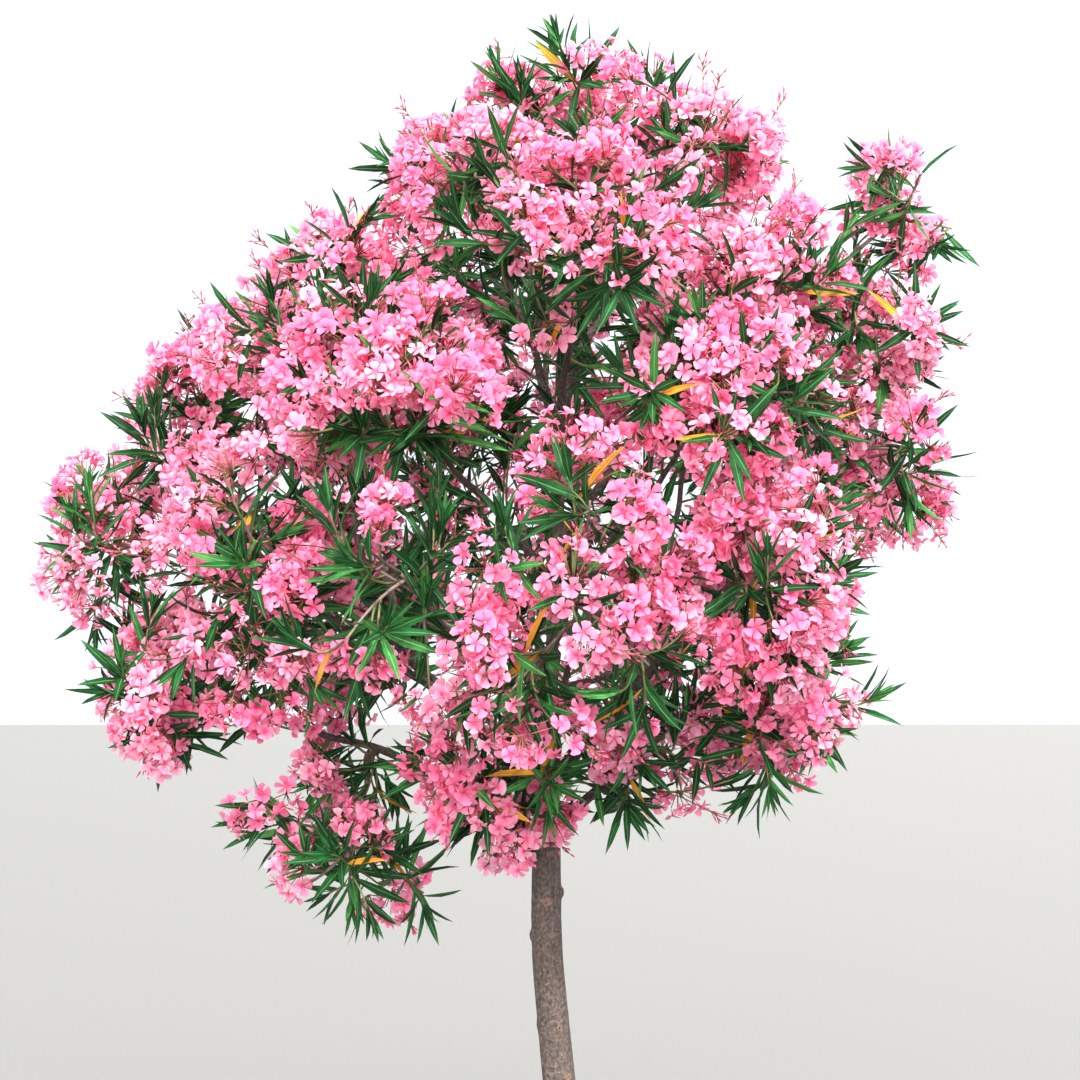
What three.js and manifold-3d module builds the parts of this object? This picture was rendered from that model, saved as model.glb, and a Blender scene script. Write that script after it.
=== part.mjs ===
// A standard oleander in a plain clay pot: one straight stem that carries a round, flowering crown.
// Millimetres, +Z up. The origin is the middle of the pot's flat underside.
import * as THREE from "three";
import { mergeVertices } from "three/addons/utils/BufferGeometryUtils.js";
import Module from "manifold-3d";

const wasm = await Module();
wasm.setup();

// The driving dimensions
const POT_HEIGHT = 500;
const POT_TOP_RADIUS = 310;
const POT_FOOT_RADIUS = 205;
const POT_WALL = 22;
const SOIL_BELOW_RIM = 42;
const STEM_RADIUS = 36;
const STEM_TAPER = 0.82;
const FORK_HEIGHT = 1400;
const LEAF_LENGTH = 225;
const BLOSSOM_RADIUS = 80;
const GAP = 0.3;

const point = (x, y, z) => new THREE.Vector3(x, y, z);

// Random numbers from 0 to 1 that are the same on each run: a 32-bit mixing generator.
function randomSource(seed) {
  let state = seed >>> 0;
  return () => {
    state = (state + 0x6d2b79f5) >>> 0;
    let mixed = Math.imul(state ^ (state >>> 15), state | 1);
    mixed ^= mixed + Math.imul(mixed ^ (mixed >>> 7), mixed | 61);
    return ((mixed ^ (mixed >>> 14)) >>> 0) / 4294967296;
  };
}

// A three.js geometry as a solid that can be joined and cut.
function solidOf(geometry) {
  const bare = geometry.index ? geometry.toNonIndexed() : geometry.clone();
  for (const name of Object.keys(bare.attributes)) {
    if (name !== "position") bare.deleteAttribute(name);
  }
  const merged = mergeVertices(bare, 1e-4);
  return new wasm.Manifold(
    new wasm.Mesh({
      numProp: 3,
      vertProperties: new Float32Array(merged.attributes.position.array),
      triVerts: new Uint32Array(merged.index.array),
    }),
  );
}

// A solid as a geometry to draw.
function geometryOf(solid) {
  const mesh = solid.getMesh();
  const positions = new Float32Array(mesh.numVert * 3);
  for (let i = 0; i < mesh.numVert; i++) {
    positions.set(mesh.vertProperties.subarray(i * mesh.numProp, i * mesh.numProp + 3), i * 3);
  }
  const geometry = new THREE.BufferGeometry();
  geometry.setAttribute("position", new THREE.BufferAttribute(positions, 3));
  geometry.setIndex(new THREE.BufferAttribute(new Uint32Array(mesh.triVerts), 1));
  geometry.computeVertexNormals();
  return geometry;
}

// The largest piece of a solid. Loose scraps and sealed hollows that joining leaves are dropped with the rest.
function largestPiece(solid) {
  const pieces = solid.decompose();
  return pieces.reduce((best, piece) => (piece.volume() > best.volume() ? piece : best));
}

function joined(solids) {
  return solids.reduce((whole, solid) => whole.add(solid));
}

// A tapering limb: a cylinder of that many sides, bent along a curve, with its radius a function of the share of its
// length. It can be made fatter and longer by an extra skin all over.
function limbGeometry(curve, radiusAt, sides, steps, skin = 0) {
  const geometry = new THREE.CylinderGeometry(1, 1, 1, sides, steps);
  const position = geometry.attributes.position;
  const frames = curve.computeFrenetFrames(steps, false);
  for (let i = 0; i < position.count; i++) {
    const along = position.getY(i) + 0.5;
    const step = Math.round(along * steps);
    const place = curve.getPointAt(step / steps);
    const radius = radiusAt(along) + skin;
    const beyondEnd = step === 0 ? -skin : step === steps ? skin : 0;
    place.addScaledVector(frames.tangents[step], beyondEnd);
    place.addScaledVector(frames.normals[step], position.getZ(i) * radius);
    place.addScaledVector(frames.binormals[step], position.getX(i) * radius);
    position.setXYZ(i, place.x, place.y, place.z);
  }
  return geometry;
}

// Two directions square to an axis, the first of them turned round it by an angle.
function crossDirections(axis, angle) {
  const guide = Math.abs(axis.z) < 0.9 ? point(0, 0, 1) : point(1, 0, 0);
  const first = new THREE.Vector3().crossVectors(axis, guide).normalize().applyAxisAngle(axis, angle);
  const second = new THREE.Vector3().crossVectors(axis, first).normalize();
  return [first, second];
}

// The pot: one turned profile with a rolled rim, and four drain holes through its floor.
const POT_SIDES = 24;
const RIM_HEIGHT = 62;
const RIM_OUT = 14;
const DRAIN_RADIUS = 11;
const DRAIN_CIRCLE = 110;
const DRAINS = 4;
const POT_FLOOR = 28;

const wallRadius = (height) => THREE.MathUtils.lerp(POT_FOOT_RADIUS, POT_TOP_RADIUS - RIM_OUT, height / POT_HEIGHT);

function potGeometry() {
  const rimFoot = POT_HEIGHT - RIM_HEIGHT;
  const profile = [
    [0, 0],
    [POT_FOOT_RADIUS, 0],
    [wallRadius(rimFoot), rimFoot],
    [POT_TOP_RADIUS - 4, rimFoot + 8],
    [POT_TOP_RADIUS, POT_HEIGHT],
    [wallRadius(POT_HEIGHT) - POT_WALL, POT_HEIGHT],
    [wallRadius(POT_FLOOR) - POT_WALL, POT_FLOOR],
    [0, POT_FLOOR],
  ].map(([radius, height]) => new THREE.Vector2(radius, height));
  const body = solidOf(new THREE.LatheGeometry(profile, POT_SIDES).rotateX(Math.PI / 2));
  const holes = Array.from({ length: DRAINS }, (_, i) => {
    const hole = new THREE.CylinderGeometry(DRAIN_RADIUS, DRAIN_RADIUS, 3 * POT_FLOOR, 8).rotateX(Math.PI / 2);
    const angle = ((i + 0.5) / DRAINS) * 2 * Math.PI;
    return solidOf(hole.translate(DRAIN_CIRCLE * Math.cos(angle), DRAIN_CIRCLE * Math.sin(angle), 0));
  });
  return geometryOf(body.subtract(joined(holes)));
}

// The soil fills the pot to below its rim, a hair clear of the wall, with a flat top that the stem stands on.
const SOIL_TOP = POT_HEIGHT - SOIL_BELOW_RIM;

function soilGeometry() {
  const floor = POT_FLOOR + GAP;
  const clear = POT_WALL + GAP;
  const profile = [
    [0, floor],
    [wallRadius(floor) - clear, floor],
    [wallRadius(SOIL_TOP) - clear, SOIL_TOP],
    [0, SOIL_TOP],
  ].map(([radius, height]) => new THREE.Vector2(radius, height));
  return new THREE.LatheGeometry(profile, POT_SIDES).rotateX(Math.PI / 2);
}

// The stem leans a little to one side as it rises, stands upright below its fork, and spreads at its foot.
const STEM_SUNK = 12;
const stemCurve = new THREE.CatmullRomCurve3([
  point(0, 0, SOIL_TOP - STEM_SUNK),
  point(-14, 4, 620),
  point(-29, 6, 780),
  point(-41, 6, 900),
  point(-53, 4, 1043),
  point(-55, 0, 1200),
  point(-52, -4, FORK_HEIGHT),
]);
const FLARE_OUT = 24;
const FLARE_HEIGHT = 42;
const STEM_SIDES = 9;
const STEM_STEPS = 10;

function stemRadius(along) {
  const rise = along * (FORK_HEIGHT - SOIL_TOP);
  const taper = THREE.MathUtils.lerp(STEM_RADIUS, STEM_TAPER * STEM_RADIUS, along);
  return taper + FLARE_OUT * Math.exp(-rise / FLARE_HEIGHT);
}

// Healed stubs of pruned side shoots: [share of the stem's length, turn round it in degrees].
const STUBS = [
  [0.75, 8],
  [0.66, 188],
  [0.36, -60],
];
const STUB_FOOT_RADIUS = 17;
const STUB_END_RADIUS = 8;
const STUB_OUT = 7;
const STUB_LIFT = 0.25;

function stemSolid(skin) {
  const body = solidOf(limbGeometry(stemCurve, stemRadius, STEM_SIDES, STEM_STEPS, skin));
  const stubs = STUBS.map(([along, turn]) => {
    const angle = THREE.MathUtils.degToRad(turn);
    const out = point(Math.cos(angle), Math.sin(angle), STUB_LIFT).normalize();
    const foot = stemCurve.getPointAt(along);
    const end = foot.clone().addScaledVector(out, stemRadius(along) + STUB_OUT);
    const radiusAt = (t) => THREE.MathUtils.lerp(STUB_FOOT_RADIUS, STUB_END_RADIUS, t);
    return solidOf(limbGeometry(new THREE.LineCurve3(foot, end), radiusAt, 4, 1, skin));
  });
  return joined([body, ...stubs]);
}

// The stem's first ring follows its lean, so the foot is cut level just above the soil.
const CUT_SIZE = 400;

function flatFoot(solid) {
  const below = new THREE.BoxGeometry(CUT_SIZE, CUT_SIZE, CUT_SIZE).translate(0, 0, SOIL_TOP + GAP - CUT_SIZE / 2);
  return solid.subtract(solidOf(below));
}

// The crown's masses of foliage, each on the bough that carries it. A row holds the mass's name, its middle, its
// reach, the share of its shoots that flower, the limb that its bough leaves, how far along that limb, and the
// bough's radius there.
const CROWN = [
  ["crest", [0, 20, 2800], 195, 0.5, "stem", 1.0, 22],
  ["left_shoulder", [-818, 30, 2088], 210, 0.75, "stem", 0.9, 17],
  ["right_tip", [628, 0, 2090], 190, 0.8, "stem", 0.95, 17],
  ["front_low", [0, -640, 1740], 240, 0.9, "stem", 0.93, 15],
  ["back_middle", [-120, 690, 2120], 300, 0.75, "stem", 0.97, 16],
  ["left_low", [-822, -60, 1618], 220, 0.8, "stem", 0.86, 14],
  ["right_low", [400, -60, 1548], 203, 0.7, "stem", 0.88, 13],
  ["top_right", [232, -60, 2708], 186, 0.95, "crest", 0.62, 12],
  ["top_left", [-205, -60, 2660], 186, 0.6, "crest", 0.56, 12],
  ["front_upper", [0, -450, 2430], 230, 0.7, "crest", 0.46, 12],
  ["back_top", [-90, 430, 2600], 270, 0.7, "crest", 0.5, 12],
  ["upper_left", [-520, -80, 2340], 210, 0.85, "left_shoulder", 0.55, 11],
  ["left_tip", [-942, -20, 1892], 203, 0.85, "left_shoulder", 0.62, 10],
  ["front_left", [-345, -480, 2135], 218, 0.8, "crest", 0.3, 11],
  ["front_left_low", [-570, -380, 1795], 230, 0.7, "left_shoulder", 0.3, 11],
  ["back_upper_left", [-560, 400, 2300], 265, 0.75, "left_shoulder", 0.45, 11],
  ["upper_right", [415, -120, 2415], 195, 0.7, "crest", 0.38, 12],
  ["right_upper", [612, 40, 2310], 207, 0.75, "right_tip", 0.5, 10],
  ["right_sprig", [702, 0, 2592], 142, 0.5, "upper_right", 0.6, 8],
  ["back_upper_right", [340, 440, 2330], 275, 0.75, "right_tip", 0.3, 11],
  ["front_right", [265, -480, 2135], 230, 0.75, "crest", 0.22, 11],
  ["front_right_low", [330, -470, 1820], 224, 0.95, "right_tip", 0.2, 10],
  ["front_green", [-322, -560, 1790], 210, 0.2, "front_low", 0.4, 9],
  ["hanging_left", [-450, -160, 1264], 196, 0.4, "left_low", 0.6, 9],
  ["low_front", [-150, -250, 1420], 205, 0.4, "front_low", 0.2, 9],
  ["low_right", [140, -170, 1470], 180, 0.8, "right_low", 0.4, 9],
  ["back_low_left", [-520, 470, 1805], 250, 0.75, "back_middle", 0.35, 12],
  ["back_low_right", [330, 470, 1740], 270, 0.75, "back_middle", 0.25, 12],
].map(([name, middle, reach, bloom, parent, leaves, girth], index) => ({
  name,
  middle: point(...middle),
  reach,
  bloom,
  parent,
  leaves,
  girth,
  seed: 101 + index,
}));
const CROWN_HEART = point(-140, 0, 1850);

// Each mass keeps to its own space. The plane between two masses lies where their power distances, which are the
// squared distance from the middle less the squared reach, are equal. Distance to the nearest such plane:
function roomInCell(mass, place) {
  const power = (other) => place.distanceToSquared(other.middle) - other.reach ** 2;
  const own = power(mass);
  return Math.min(
    ...CROWN.filter((other) => other !== mass).map((other) => {
      return (power(other) - own) / (2 * other.middle.distanceTo(mass.middle));
    }),
  );
}

// A bough leaves its parent limb along that limb's own direction and arches over to the inner side of its mass.
const BOUGH_END_RADIUS = 5;
const BOUGH_SIDES = 5;
const BOUGH_STEPS = 4;
const BOUGH_TAPER = 0.8;
const FOOT_ROOM = 16;
const LEAVING_PULL = 0.35;
const ARRIVING_PULL = 0.3;

const limbs = new Map([["stem", { curve: stemCurve, radiusAt: stemRadius }]]);

// Where a bough ends: as near the inner edge of its mass as leaves room in the mass's space.
function boughEnd(mass, start) {
  const inward = start.clone().sub(mass.middle).normalize();
  const at = (share) => mass.middle.clone().addScaledVector(inward, share * mass.reach);
  const share = [0.8, 0.7, 0.6, 0.5, 0.4, 0.3, 0.2].find((one) => roomInCell(mass, at(one)) > FOOT_ROOM);
  return at(share ?? 0.1);
}

for (const mass of CROWN) {
  const parent = limbs.get(mass.parent);
  const start = parent.curve.getPointAt(mass.leaves);
  const end = boughEnd(mass, start);
  const length = start.distanceTo(end);
  const away = end.clone().sub(start).normalize();
  const leaving = parent.curve.getTangentAt(mass.leaves).multiplyScalar(0.5).add(away).normalize();
  const arriving = mass.middle.clone().sub(end).normalize().add(away).normalize();
  const curve = new THREE.CubicBezierCurve3(
    start,
    start.clone().addScaledVector(leaving, LEAVING_PULL * length),
    end.clone().addScaledVector(arriving, -ARRIVING_PULL * length),
    end,
  );
  const radiusAt = (along) => THREE.MathUtils.lerp(mass.girth, BOUGH_END_RADIUS, along ** BOUGH_TAPER);
  limbs.set(mass.name, { curve, radiusAt });
}

function limbSolid(name, skin) {
  if (name === "stem") return stemSolid(skin);
  const { curve, radiusAt } = limbs.get(name);
  return solidOf(limbGeometry(curve, radiusAt, BOUGH_SIDES, BOUGH_STEPS, skin));
}

// Every limb in one solid, a little fatter than life, to keep the foliage clear of.
const LIMB_CLEARANCE = 1;
const limbsToClear = joined([...limbs.keys()].map((name) => limbSolid(name, LIMB_CLEARANCE)));

// The wall between two rings of corners, which may differ in number. Both run counter-clockwise about the direction
// from the first ring to the second.
function wall(from, to) {
  const corners = [];
  let i = 0;
  let j = 0;
  while (i < from.length || j < to.length) {
    const here = from[i % from.length];
    const there = to[j % to.length];
    if (j === to.length || (i < from.length && (i + 1) / from.length <= (j + 1) / to.length)) {
      i += 1;
      corners.push(here, from[i % from.length], there);
    } else {
      j += 1;
      corners.push(here, to[j % to.length], there);
    }
  }
  return corners;
}

// The cap that closes a ring in one corner ahead of it.
const cap = (ring, apex) => ring.flatMap((corner, i) => [corner, ring[(i + 1) % ring.length], apex]);

// A leaf grows from a ring of corners on a twig: it widens to a flat section with a rib above, and narrows to its
// tip, which hangs a little.
const LEAF_HALF_WIDTH = 0.095;
const LEAF_THICKNESS = 0.028;
const LEAF_WIDEST = 0.45;
const LEAF_ARCH = 0.03;
const LEAF_HANG = 0.05;

function leafOn(root, place, facing, right, length) {
  const above = new THREE.Vector3().crossVectors(facing, right);
  const at = (along, rise) => {
    return place.clone().addScaledVector(facing, along * length).addScaledVector(above, rise * length);
  };
  const middle = at(LEAF_WIDEST, LEAF_ARCH);
  const ring = [
    middle.clone().addScaledVector(right, -LEAF_HALF_WIDTH * length),
    middle.clone().addScaledVector(right, LEAF_HALF_WIDTH * length),
    middle.clone().addScaledVector(above, LEAF_THICKNESS * length),
  ];
  return [...wall(root, ring), ...cap(ring, at(1, -LEAF_HANG))];
}

// A blossom grows from a ring of corners on a twig: a funnel that spreads into five petals, open to a deep throat.
const PETALS = 5;
const NOTCH_RADIUS = 0.56;
const PETAL_RISE = 0.17;
const THROAT_DEPTH = 0.6;

function blossomOn(root, place, facing, right, radius, depth, firstAngle) {
  const above = new THREE.Vector3().crossVectors(facing, right);
  const face = place.clone().addScaledVector(facing, depth);
  const outline = Array.from({ length: 2 * PETALS }, (_, i) => {
    const reach = radius * (i % 2 ? NOTCH_RADIUS : 1);
    const angle = firstAngle + (i * Math.PI) / PETALS;
    return face
      .clone()
      .addScaledVector(right, reach * Math.cos(angle))
      .addScaledVector(above, reach * Math.sin(angle))
      .addScaledVector(facing, i % 2 ? 0 : PETAL_RISE * radius);
  });
  const throat = face.clone().addScaledVector(facing, -THROAT_DEPTH * depth);
  return [...wall(root, outline), ...cap(outline, throat)];
}

// A shoot is one closed surface: a three-sided twig along a curve, whose sides open at each node into a whorl of
// three leaves, or into blossoms, and whose tip opens into a leaf or a blossom. The twig turns by half a side
// between nodes, so that what grows at one stands between what grows at the next.
const TWIG_SIDES = 3;
const NODE_LENGTH = 9;
const NODE_TURN = Math.PI / TWIG_SIDES;
const SIDE_BLOSSOMS = 2;
const TIP_LEAF_TURN = (5 * Math.PI) / 6;
const SHOOT_TAPER = 0.25;

function shootCorners(curve, radius, turn, nodes, tip) {
  const length = curve.getLength();
  const [guide] = crossDirections(curve.getTangentAt(0.5), turn);
  const ringAt = (along, ringTurn) => {
    const axis = curve.getTangentAt(along);
    const across = guide.clone().addScaledVector(axis, -guide.dot(axis)).normalize();
    const beyond = new THREE.Vector3().crossVectors(axis, across);
    const place = curve.getPointAt(along);
    const size = radius * (1 - SHOOT_TAPER * along);
    return Array.from({ length: TWIG_SIDES }, (_, i) => {
      const angle = ringTurn + (i * 2 * Math.PI) / TWIG_SIDES;
      return place
        .clone()
        .addScaledVector(across, size * Math.cos(angle))
        .addScaledVector(beyond, size * Math.sin(angle));
    });
  };
  let ring = ringAt(0, 0);
  const corners = [...ring].reverse();
  nodes.forEach((node, n) => {
    const low = ringAt(node.along, n * NODE_TURN);
    const high = ringAt(node.along + NODE_LENGTH / length, n * NODE_TURN);
    const axis = curve.getTangentAt(node.along);
    corners.push(...wall(ring, low));
    low.forEach((corner, side) => {
      const next = (side + 1) % TWIG_SIDES;
      const root = [corner, low[next], high[next], high[side]];
      const middle = root.reduce((sum, spot) => sum.add(spot), point(0, 0, 0)).divideScalar(4);
      const right = low[next].clone().sub(corner).normalize();
      const out = new THREE.Vector3().crossVectors(right, axis).normalize();
      corners.push(...node.grow(root, middle, out, right, axis, side));
    });
    ring = high;
  });
  const last = ringAt(1, nodes.length * NODE_TURN);
  corners.push(...wall(ring, last));
  const axis = curve.getTangentAt(1);
  const right = last[0].clone().sub(curve.getPointAt(1)).normalize();
  corners.push(...tip(last, curve.getPointAt(1), axis, right));
  return corners;
}

function tilted(out, axis, angle) {
  return out.clone().multiplyScalar(Math.cos(angle)).addScaledVector(axis, Math.sin(angle));
}

// What grows at a node: leaves that lean forward along the twig by an angle, or blossoms that face sideways, whose
// first petal lines up with the first corner of their root.
const SIDE_BLOSSOM_LEAN = 0.02;
const SIDE_BLOSSOM_DEPTH = 1.05;
const FIRST_CORNER = (5 * Math.PI) / 4;

function leafNode(along, length, lean) {
  const grow = (root, middle, out, right, axis) => leafOn(root, middle, tilted(out, axis, lean), right, length);
  return { along, grow };
}

function blossomNode(along, radius) {
  const grow = (root, middle, out, right, axis, side) => {
    if (side >= SIDE_BLOSSOMS) return [root[0], root[1], root[2], root[0], root[2], root[3]];
    const facing = tilted(out, axis, SIDE_BLOSSOM_LEAN);
    return blossomOn(root, middle, facing, right, radius, SIDE_BLOSSOM_DEPTH * radius, FIRST_CORNER);
  };
  return { along, grow };
}

// The seeded rule of growth: a short stem runs from the bough's tip into the mass, and shoots leave it for points
// spread by the golden angle over the mass's outer side. A mass is wider than it is deep.
const GOLDEN_ANGLE = Math.PI * (3 - Math.sqrt(5));
const GOLDEN_SHARE = 0.618;
const WIDEST_ANGLE = THREE.MathUtils.degToRad(100);
const SPREAD = 1.45;
const REACH_FOR_SHOOT = 62;
const ROUNDS_TRIED = 4;
const MASS_STEM_RADIUS = 5;
const MASS_STEM_TIP_RADIUS = 3.8;
const MASS_STEM_RISE = 12;
const HUB_INWARD = 0.05;
const STEM_SHARE_WITH_SHOOTS = 0.6;

function growMass(mass) {
  const random = randomSource(mass.seed);
  const bough = limbs.get(mass.name).curve;
  const ahead = bough.getTangentAt(1);
  const root = bough.getPointAt(1).addScaledVector(ahead, GAP);
  const outward = mass.middle.clone().sub(CROWN_HEART).normalize();
  const hub = mass.middle.clone().addScaledVector(outward, -HUB_INWARD * mass.reach);
  const bend = root.clone().lerp(hub, 0.5).addScaledVector(ahead, MASS_STEM_RISE);
  const stem = new THREE.QuadraticBezierCurve3(root, bend, hub);
  const stemRadiusAt = (along) => THREE.MathUtils.lerp(MASS_STEM_RADIUS, MASS_STEM_TIP_RADIUS, along);
  let grown = solidOf(limbGeometry(stem, stemRadiusAt, 4, 2));
  const [across, beyond] = crossDirections(outward, random() * 2 * Math.PI);
  const count = Math.round(mass.reach / REACH_FOR_SHOOT);
  let shoots = 0;
  for (let k = 0; k < ROUNDS_TRIED * count && shoots < count; k++) {
    const ring = ((k % count) + 0.2 + Math.floor(k / count) / ROUNDS_TRIED) / count;
    const height = THREE.MathUtils.lerp(1, Math.cos(WIDEST_ANGLE), ring);
    const width = SPREAD * Math.sqrt(1 - height * height);
    const aim = outward
      .clone()
      .multiplyScalar(height * mass.reach)
      .addScaledVector(across, width * mass.reach * Math.cos(k * GOLDEN_ANGLE))
      .addScaledVector(beyond, width * mass.reach * Math.sin(k * GOLDEN_ANGLE));
    const start = stem.getPointAt(1 - (STEM_SHARE_WITH_SHOOTS * shoots) / count);
    const flowers = (shoots * GOLDEN_SHARE + STEM_SHARE_WITH_SHOOTS) % 1 < mass.bloom;
    const whole = growShoot(mass, grown, start, aim, flowers, random() * 2 * Math.PI, ahead);
    if (!whole) continue;
    grown = whole;
    shoots += 1;
  }
  return geometryOf(largestPiece(grown));
}

// A flowering shoot has a whorl of leaves below a head of blossoms, and a leafy one has two whorls and ends in a
// leaf. A shoot that would leave the mass's space, touch a limb or cross an earlier shoot is tried again turned,
// shortened or smaller, and is left out if no try fits. A crossing shows as many extra faces where the two join.
const SHOOT_RADIUS = 4;
const SHORTEST_SHOOT = 40;
const SHOOT_ARCH = 0.3;
const HEAD_ROOM = 0.85;
const TIP_LEAF = 0.8;
const UPPER_LEAF = 0.85;
const SIDE_BLOSSOM = 0.85;
const TIP_BLOSSOM_DEPTH = 0.7;
const HEAD_LENGTH = 0.6;
const LEAF_LEAN = 0.55;
const UPPER_LEAF_LEAN = 0.95;
const FITS_TRIED = [
  { share: 1, size: 1 },
  { share: 0.88, size: 0.95 },
  { share: 1, size: 0.8 },
  { share: 0.76, size: 0.85 },
  { share: 0.88, size: 0.7 },
  { share: 0.64, size: 0.75 },
  { share: 1, size: 0.6 },
  { share: 0.7, size: 0.6 },
];
const TURNS_TRIED = [0, 0.5, 1, 1.5];
const CLEAN_JOIN = 48;

function growShoot(mass, grown, start, aim, flowers, firstTurn, ahead) {
  for (const { share, size } of FITS_TRIED) {
    const radius = size * BLOSSOM_RADIUS;
    const leaf = size * LEAF_LENGTH;
    const headRoom = flowers ? HEAD_ROOM * radius : TIP_LEAF * leaf;
    const tip = mass.middle.clone().addScaledVector(aim.clone().normalize(), share * aim.length() - headRoom);
    const length = start.distanceTo(tip);
    const headFrom = flowers ? HEAD_LENGTH * radius : 2 * NODE_LENGTH;
    const whorlFrom = Math.min(headFrom + (flowers ? 1.1 * radius : 0.5 * leaf), length - 1.5 * NODE_LENGTH);
    if (length < SHORTEST_SHOOT || whorlFrom < headFrom + 2.5 * NODE_LENGTH) continue;
    const bend = start.clone().addScaledVector(ahead, SHOOT_ARCH * length).lerp(tip, 0.35);
    const curve = new THREE.QuadraticBezierCurve3(start, bend, tip);
    const lower = leafNode(1 - whorlFrom / length, leaf, LEAF_LEAN);
    const headAt = 1 - headFrom / length;
    const upper = flowers
      ? blossomNode(headAt, SIDE_BLOSSOM * radius)
      : leafNode(headAt, UPPER_LEAF * leaf, UPPER_LEAF_LEAN);
    const close = flowers
      ? (ring, place, axis, right) => blossomOn(ring, place, axis, right, radius, TIP_BLOSSOM_DEPTH * radius, 0)
      : (ring, place, axis, right) => {
          return leafOn(ring, place, axis, right.applyAxisAngle(axis, TIP_LEAF_TURN), TIP_LEAF * leaf);
        };
    for (const further of TURNS_TRIED) {
      const corners = shootCorners(curve, SHOOT_RADIUS, firstTurn + further, [lower, upper], close);
      if (!corners.every((corner) => roomInCell(mass, corner) > 1)) continue;
      const solid = solidOf(new THREE.BufferGeometry().setFromPoints(corners));
      if (!solid.intersect(limbsToClear).isEmpty()) continue;
      const whole = grown.add(solid);
      if (whole.numTri() < grown.numTri() + solid.numTri() + CLEAN_JOIN) return whole;
    }
  }
  return null;
}

// Finishes and their colours
const clay = new THREE.MeshStandardMaterial({ color: 0xb5673f, roughness: 0.9, metalness: 0 });
const earth = new THREE.MeshStandardMaterial({ color: 0x3a2c22, roughness: 1, metalness: 0 });
const bark = new THREE.MeshStandardMaterial({ color: 0x776b63, roughness: 0.9, metalness: 0 });
const petals = new THREE.MeshStandardMaterial({ color: 0xf78fb8, roughness: 0.6, metalness: 0 });
const leaves = new THREE.MeshStandardMaterial({ color: 0x2a5a2c, roughness: 0.5, metalness: 0 });

const plant = new THREE.Group();

function addNode(name, geometry, material) {
  const mesh = new THREE.Mesh(geometry, material);
  mesh.name = name;
  plant.add(mesh);
}

addNode("pot", potGeometry(), clay);
addNode("soil", soilGeometry(), earth);
addNode("trunk", geometryOf(flatFoot(stemSolid(0))), bark);

// Each bough is cut where it leaves its parent and where it would touch a limb made before it.
const made = ["stem"];
for (const mass of CROWN) {
  let solid = limbSolid(mass.name, 0);
  for (const earlier of made) solid = solid.subtract(limbSolid(earlier, GAP));
  addNode("bough_" + mass.name, geometryOf(largestPiece(solid)), bark);
  made.push(mass.name);
}

for (const mass of CROWN) {
  addNode("mass_" + mass.name, growMass(mass), mass.bloom < 0.5 ? leaves : petals);
}

export default plant;
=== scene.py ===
import math

import bpy
import numpy as np
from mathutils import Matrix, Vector


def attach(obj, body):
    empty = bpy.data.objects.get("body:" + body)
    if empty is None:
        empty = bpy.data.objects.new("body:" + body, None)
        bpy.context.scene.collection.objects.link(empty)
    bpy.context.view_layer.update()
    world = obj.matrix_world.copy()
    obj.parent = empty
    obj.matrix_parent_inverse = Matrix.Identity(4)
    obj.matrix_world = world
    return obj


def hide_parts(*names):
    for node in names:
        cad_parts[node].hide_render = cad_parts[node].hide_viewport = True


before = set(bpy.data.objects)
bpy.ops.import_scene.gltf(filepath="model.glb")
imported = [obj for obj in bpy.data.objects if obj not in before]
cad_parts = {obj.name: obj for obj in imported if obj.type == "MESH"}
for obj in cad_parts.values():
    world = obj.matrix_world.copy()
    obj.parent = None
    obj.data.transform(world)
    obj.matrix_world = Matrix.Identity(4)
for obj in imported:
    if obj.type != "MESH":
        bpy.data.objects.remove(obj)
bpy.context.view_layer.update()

# The camera stands at eye height and looks up a little, as in the photograph. Its square frame takes in
# the whole crown and cuts the stem off above the pot. The first three values are in pixels of the
# photograph.
PICTURE_SIDE = 1080
FOCAL_LENGTH = 1762
HORIZON_BELOW_MIDDLE = 140
SENSOR_WIDTH = 36
EYE = (-0.068, -3.7, 1.6)

camera = bpy.data.objects.new("camera", bpy.data.cameras.new("camera"))
camera.location = EYE
camera.rotation_euler = (math.pi / 2 + math.atan(HORIZON_BELOW_MIDDLE / FOCAL_LENGTH), 0, 0)
camera.data.lens = SENSOR_WIDTH * FOCAL_LENGTH / PICTURE_SIDE
camera.data.sensor_width = SENSOR_WIDTH
bpy.context.scene.collection.objects.link(camera)
bpy.context.scene.camera = camera
bpy.context.scene.view_settings.view_transform = "Standard"

# The studio: a wide pale floor under pale light from all round, with a key light high on the right in
# front, broad ones low in front and on the left, and a weaker one behind. Each light has the direction
# that it comes from, its strength, and its spread in degrees.
FLOOR_SIZE = 120
FLOOR_COLOUR = "6e6e6c"
SKY_COLOUR = "e8edf4"
SKY_STRENGTH = 1.45
LAMP_COLOUR = (1.0, 0.97, 0.93)
LIGHTS = [
    ("key", (0.35, -1.0, 1.08), 6.0, 4),
    ("front", (0.15, -1.0, 0.25), 5.2, 60),
    ("fill", (-0.8, -1.0, 0.35), 2.8, 60),
    ("back", (0.5, 1.0, 0.9), 3.2, 30),
]


def srgb(text):
    """The linear colour of an sRGB hex code, each channel taken through the sRGB curve."""
    channels = np.array([int(text[i : i + 2], 16) for i in (0, 2, 4)]) / 255
    linear = np.where(channels <= 0.04045, channels / 12.92, ((channels + 0.055) / 1.055) ** 2.4)
    return (*linear.tolist(), 1.0)


def new_material(name, **sockets):
    """A material with plain values on its shader's own sockets, as (material, node tree, shader)."""
    material = bpy.data.materials.new(name)
    material.use_nodes = True
    shader = material.node_tree.nodes["Principled BSDF"]
    for key, value in sockets.items():
        shader.inputs[key.replace("_", " ")].default_value = value
    return material, material.node_tree, shader


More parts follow.
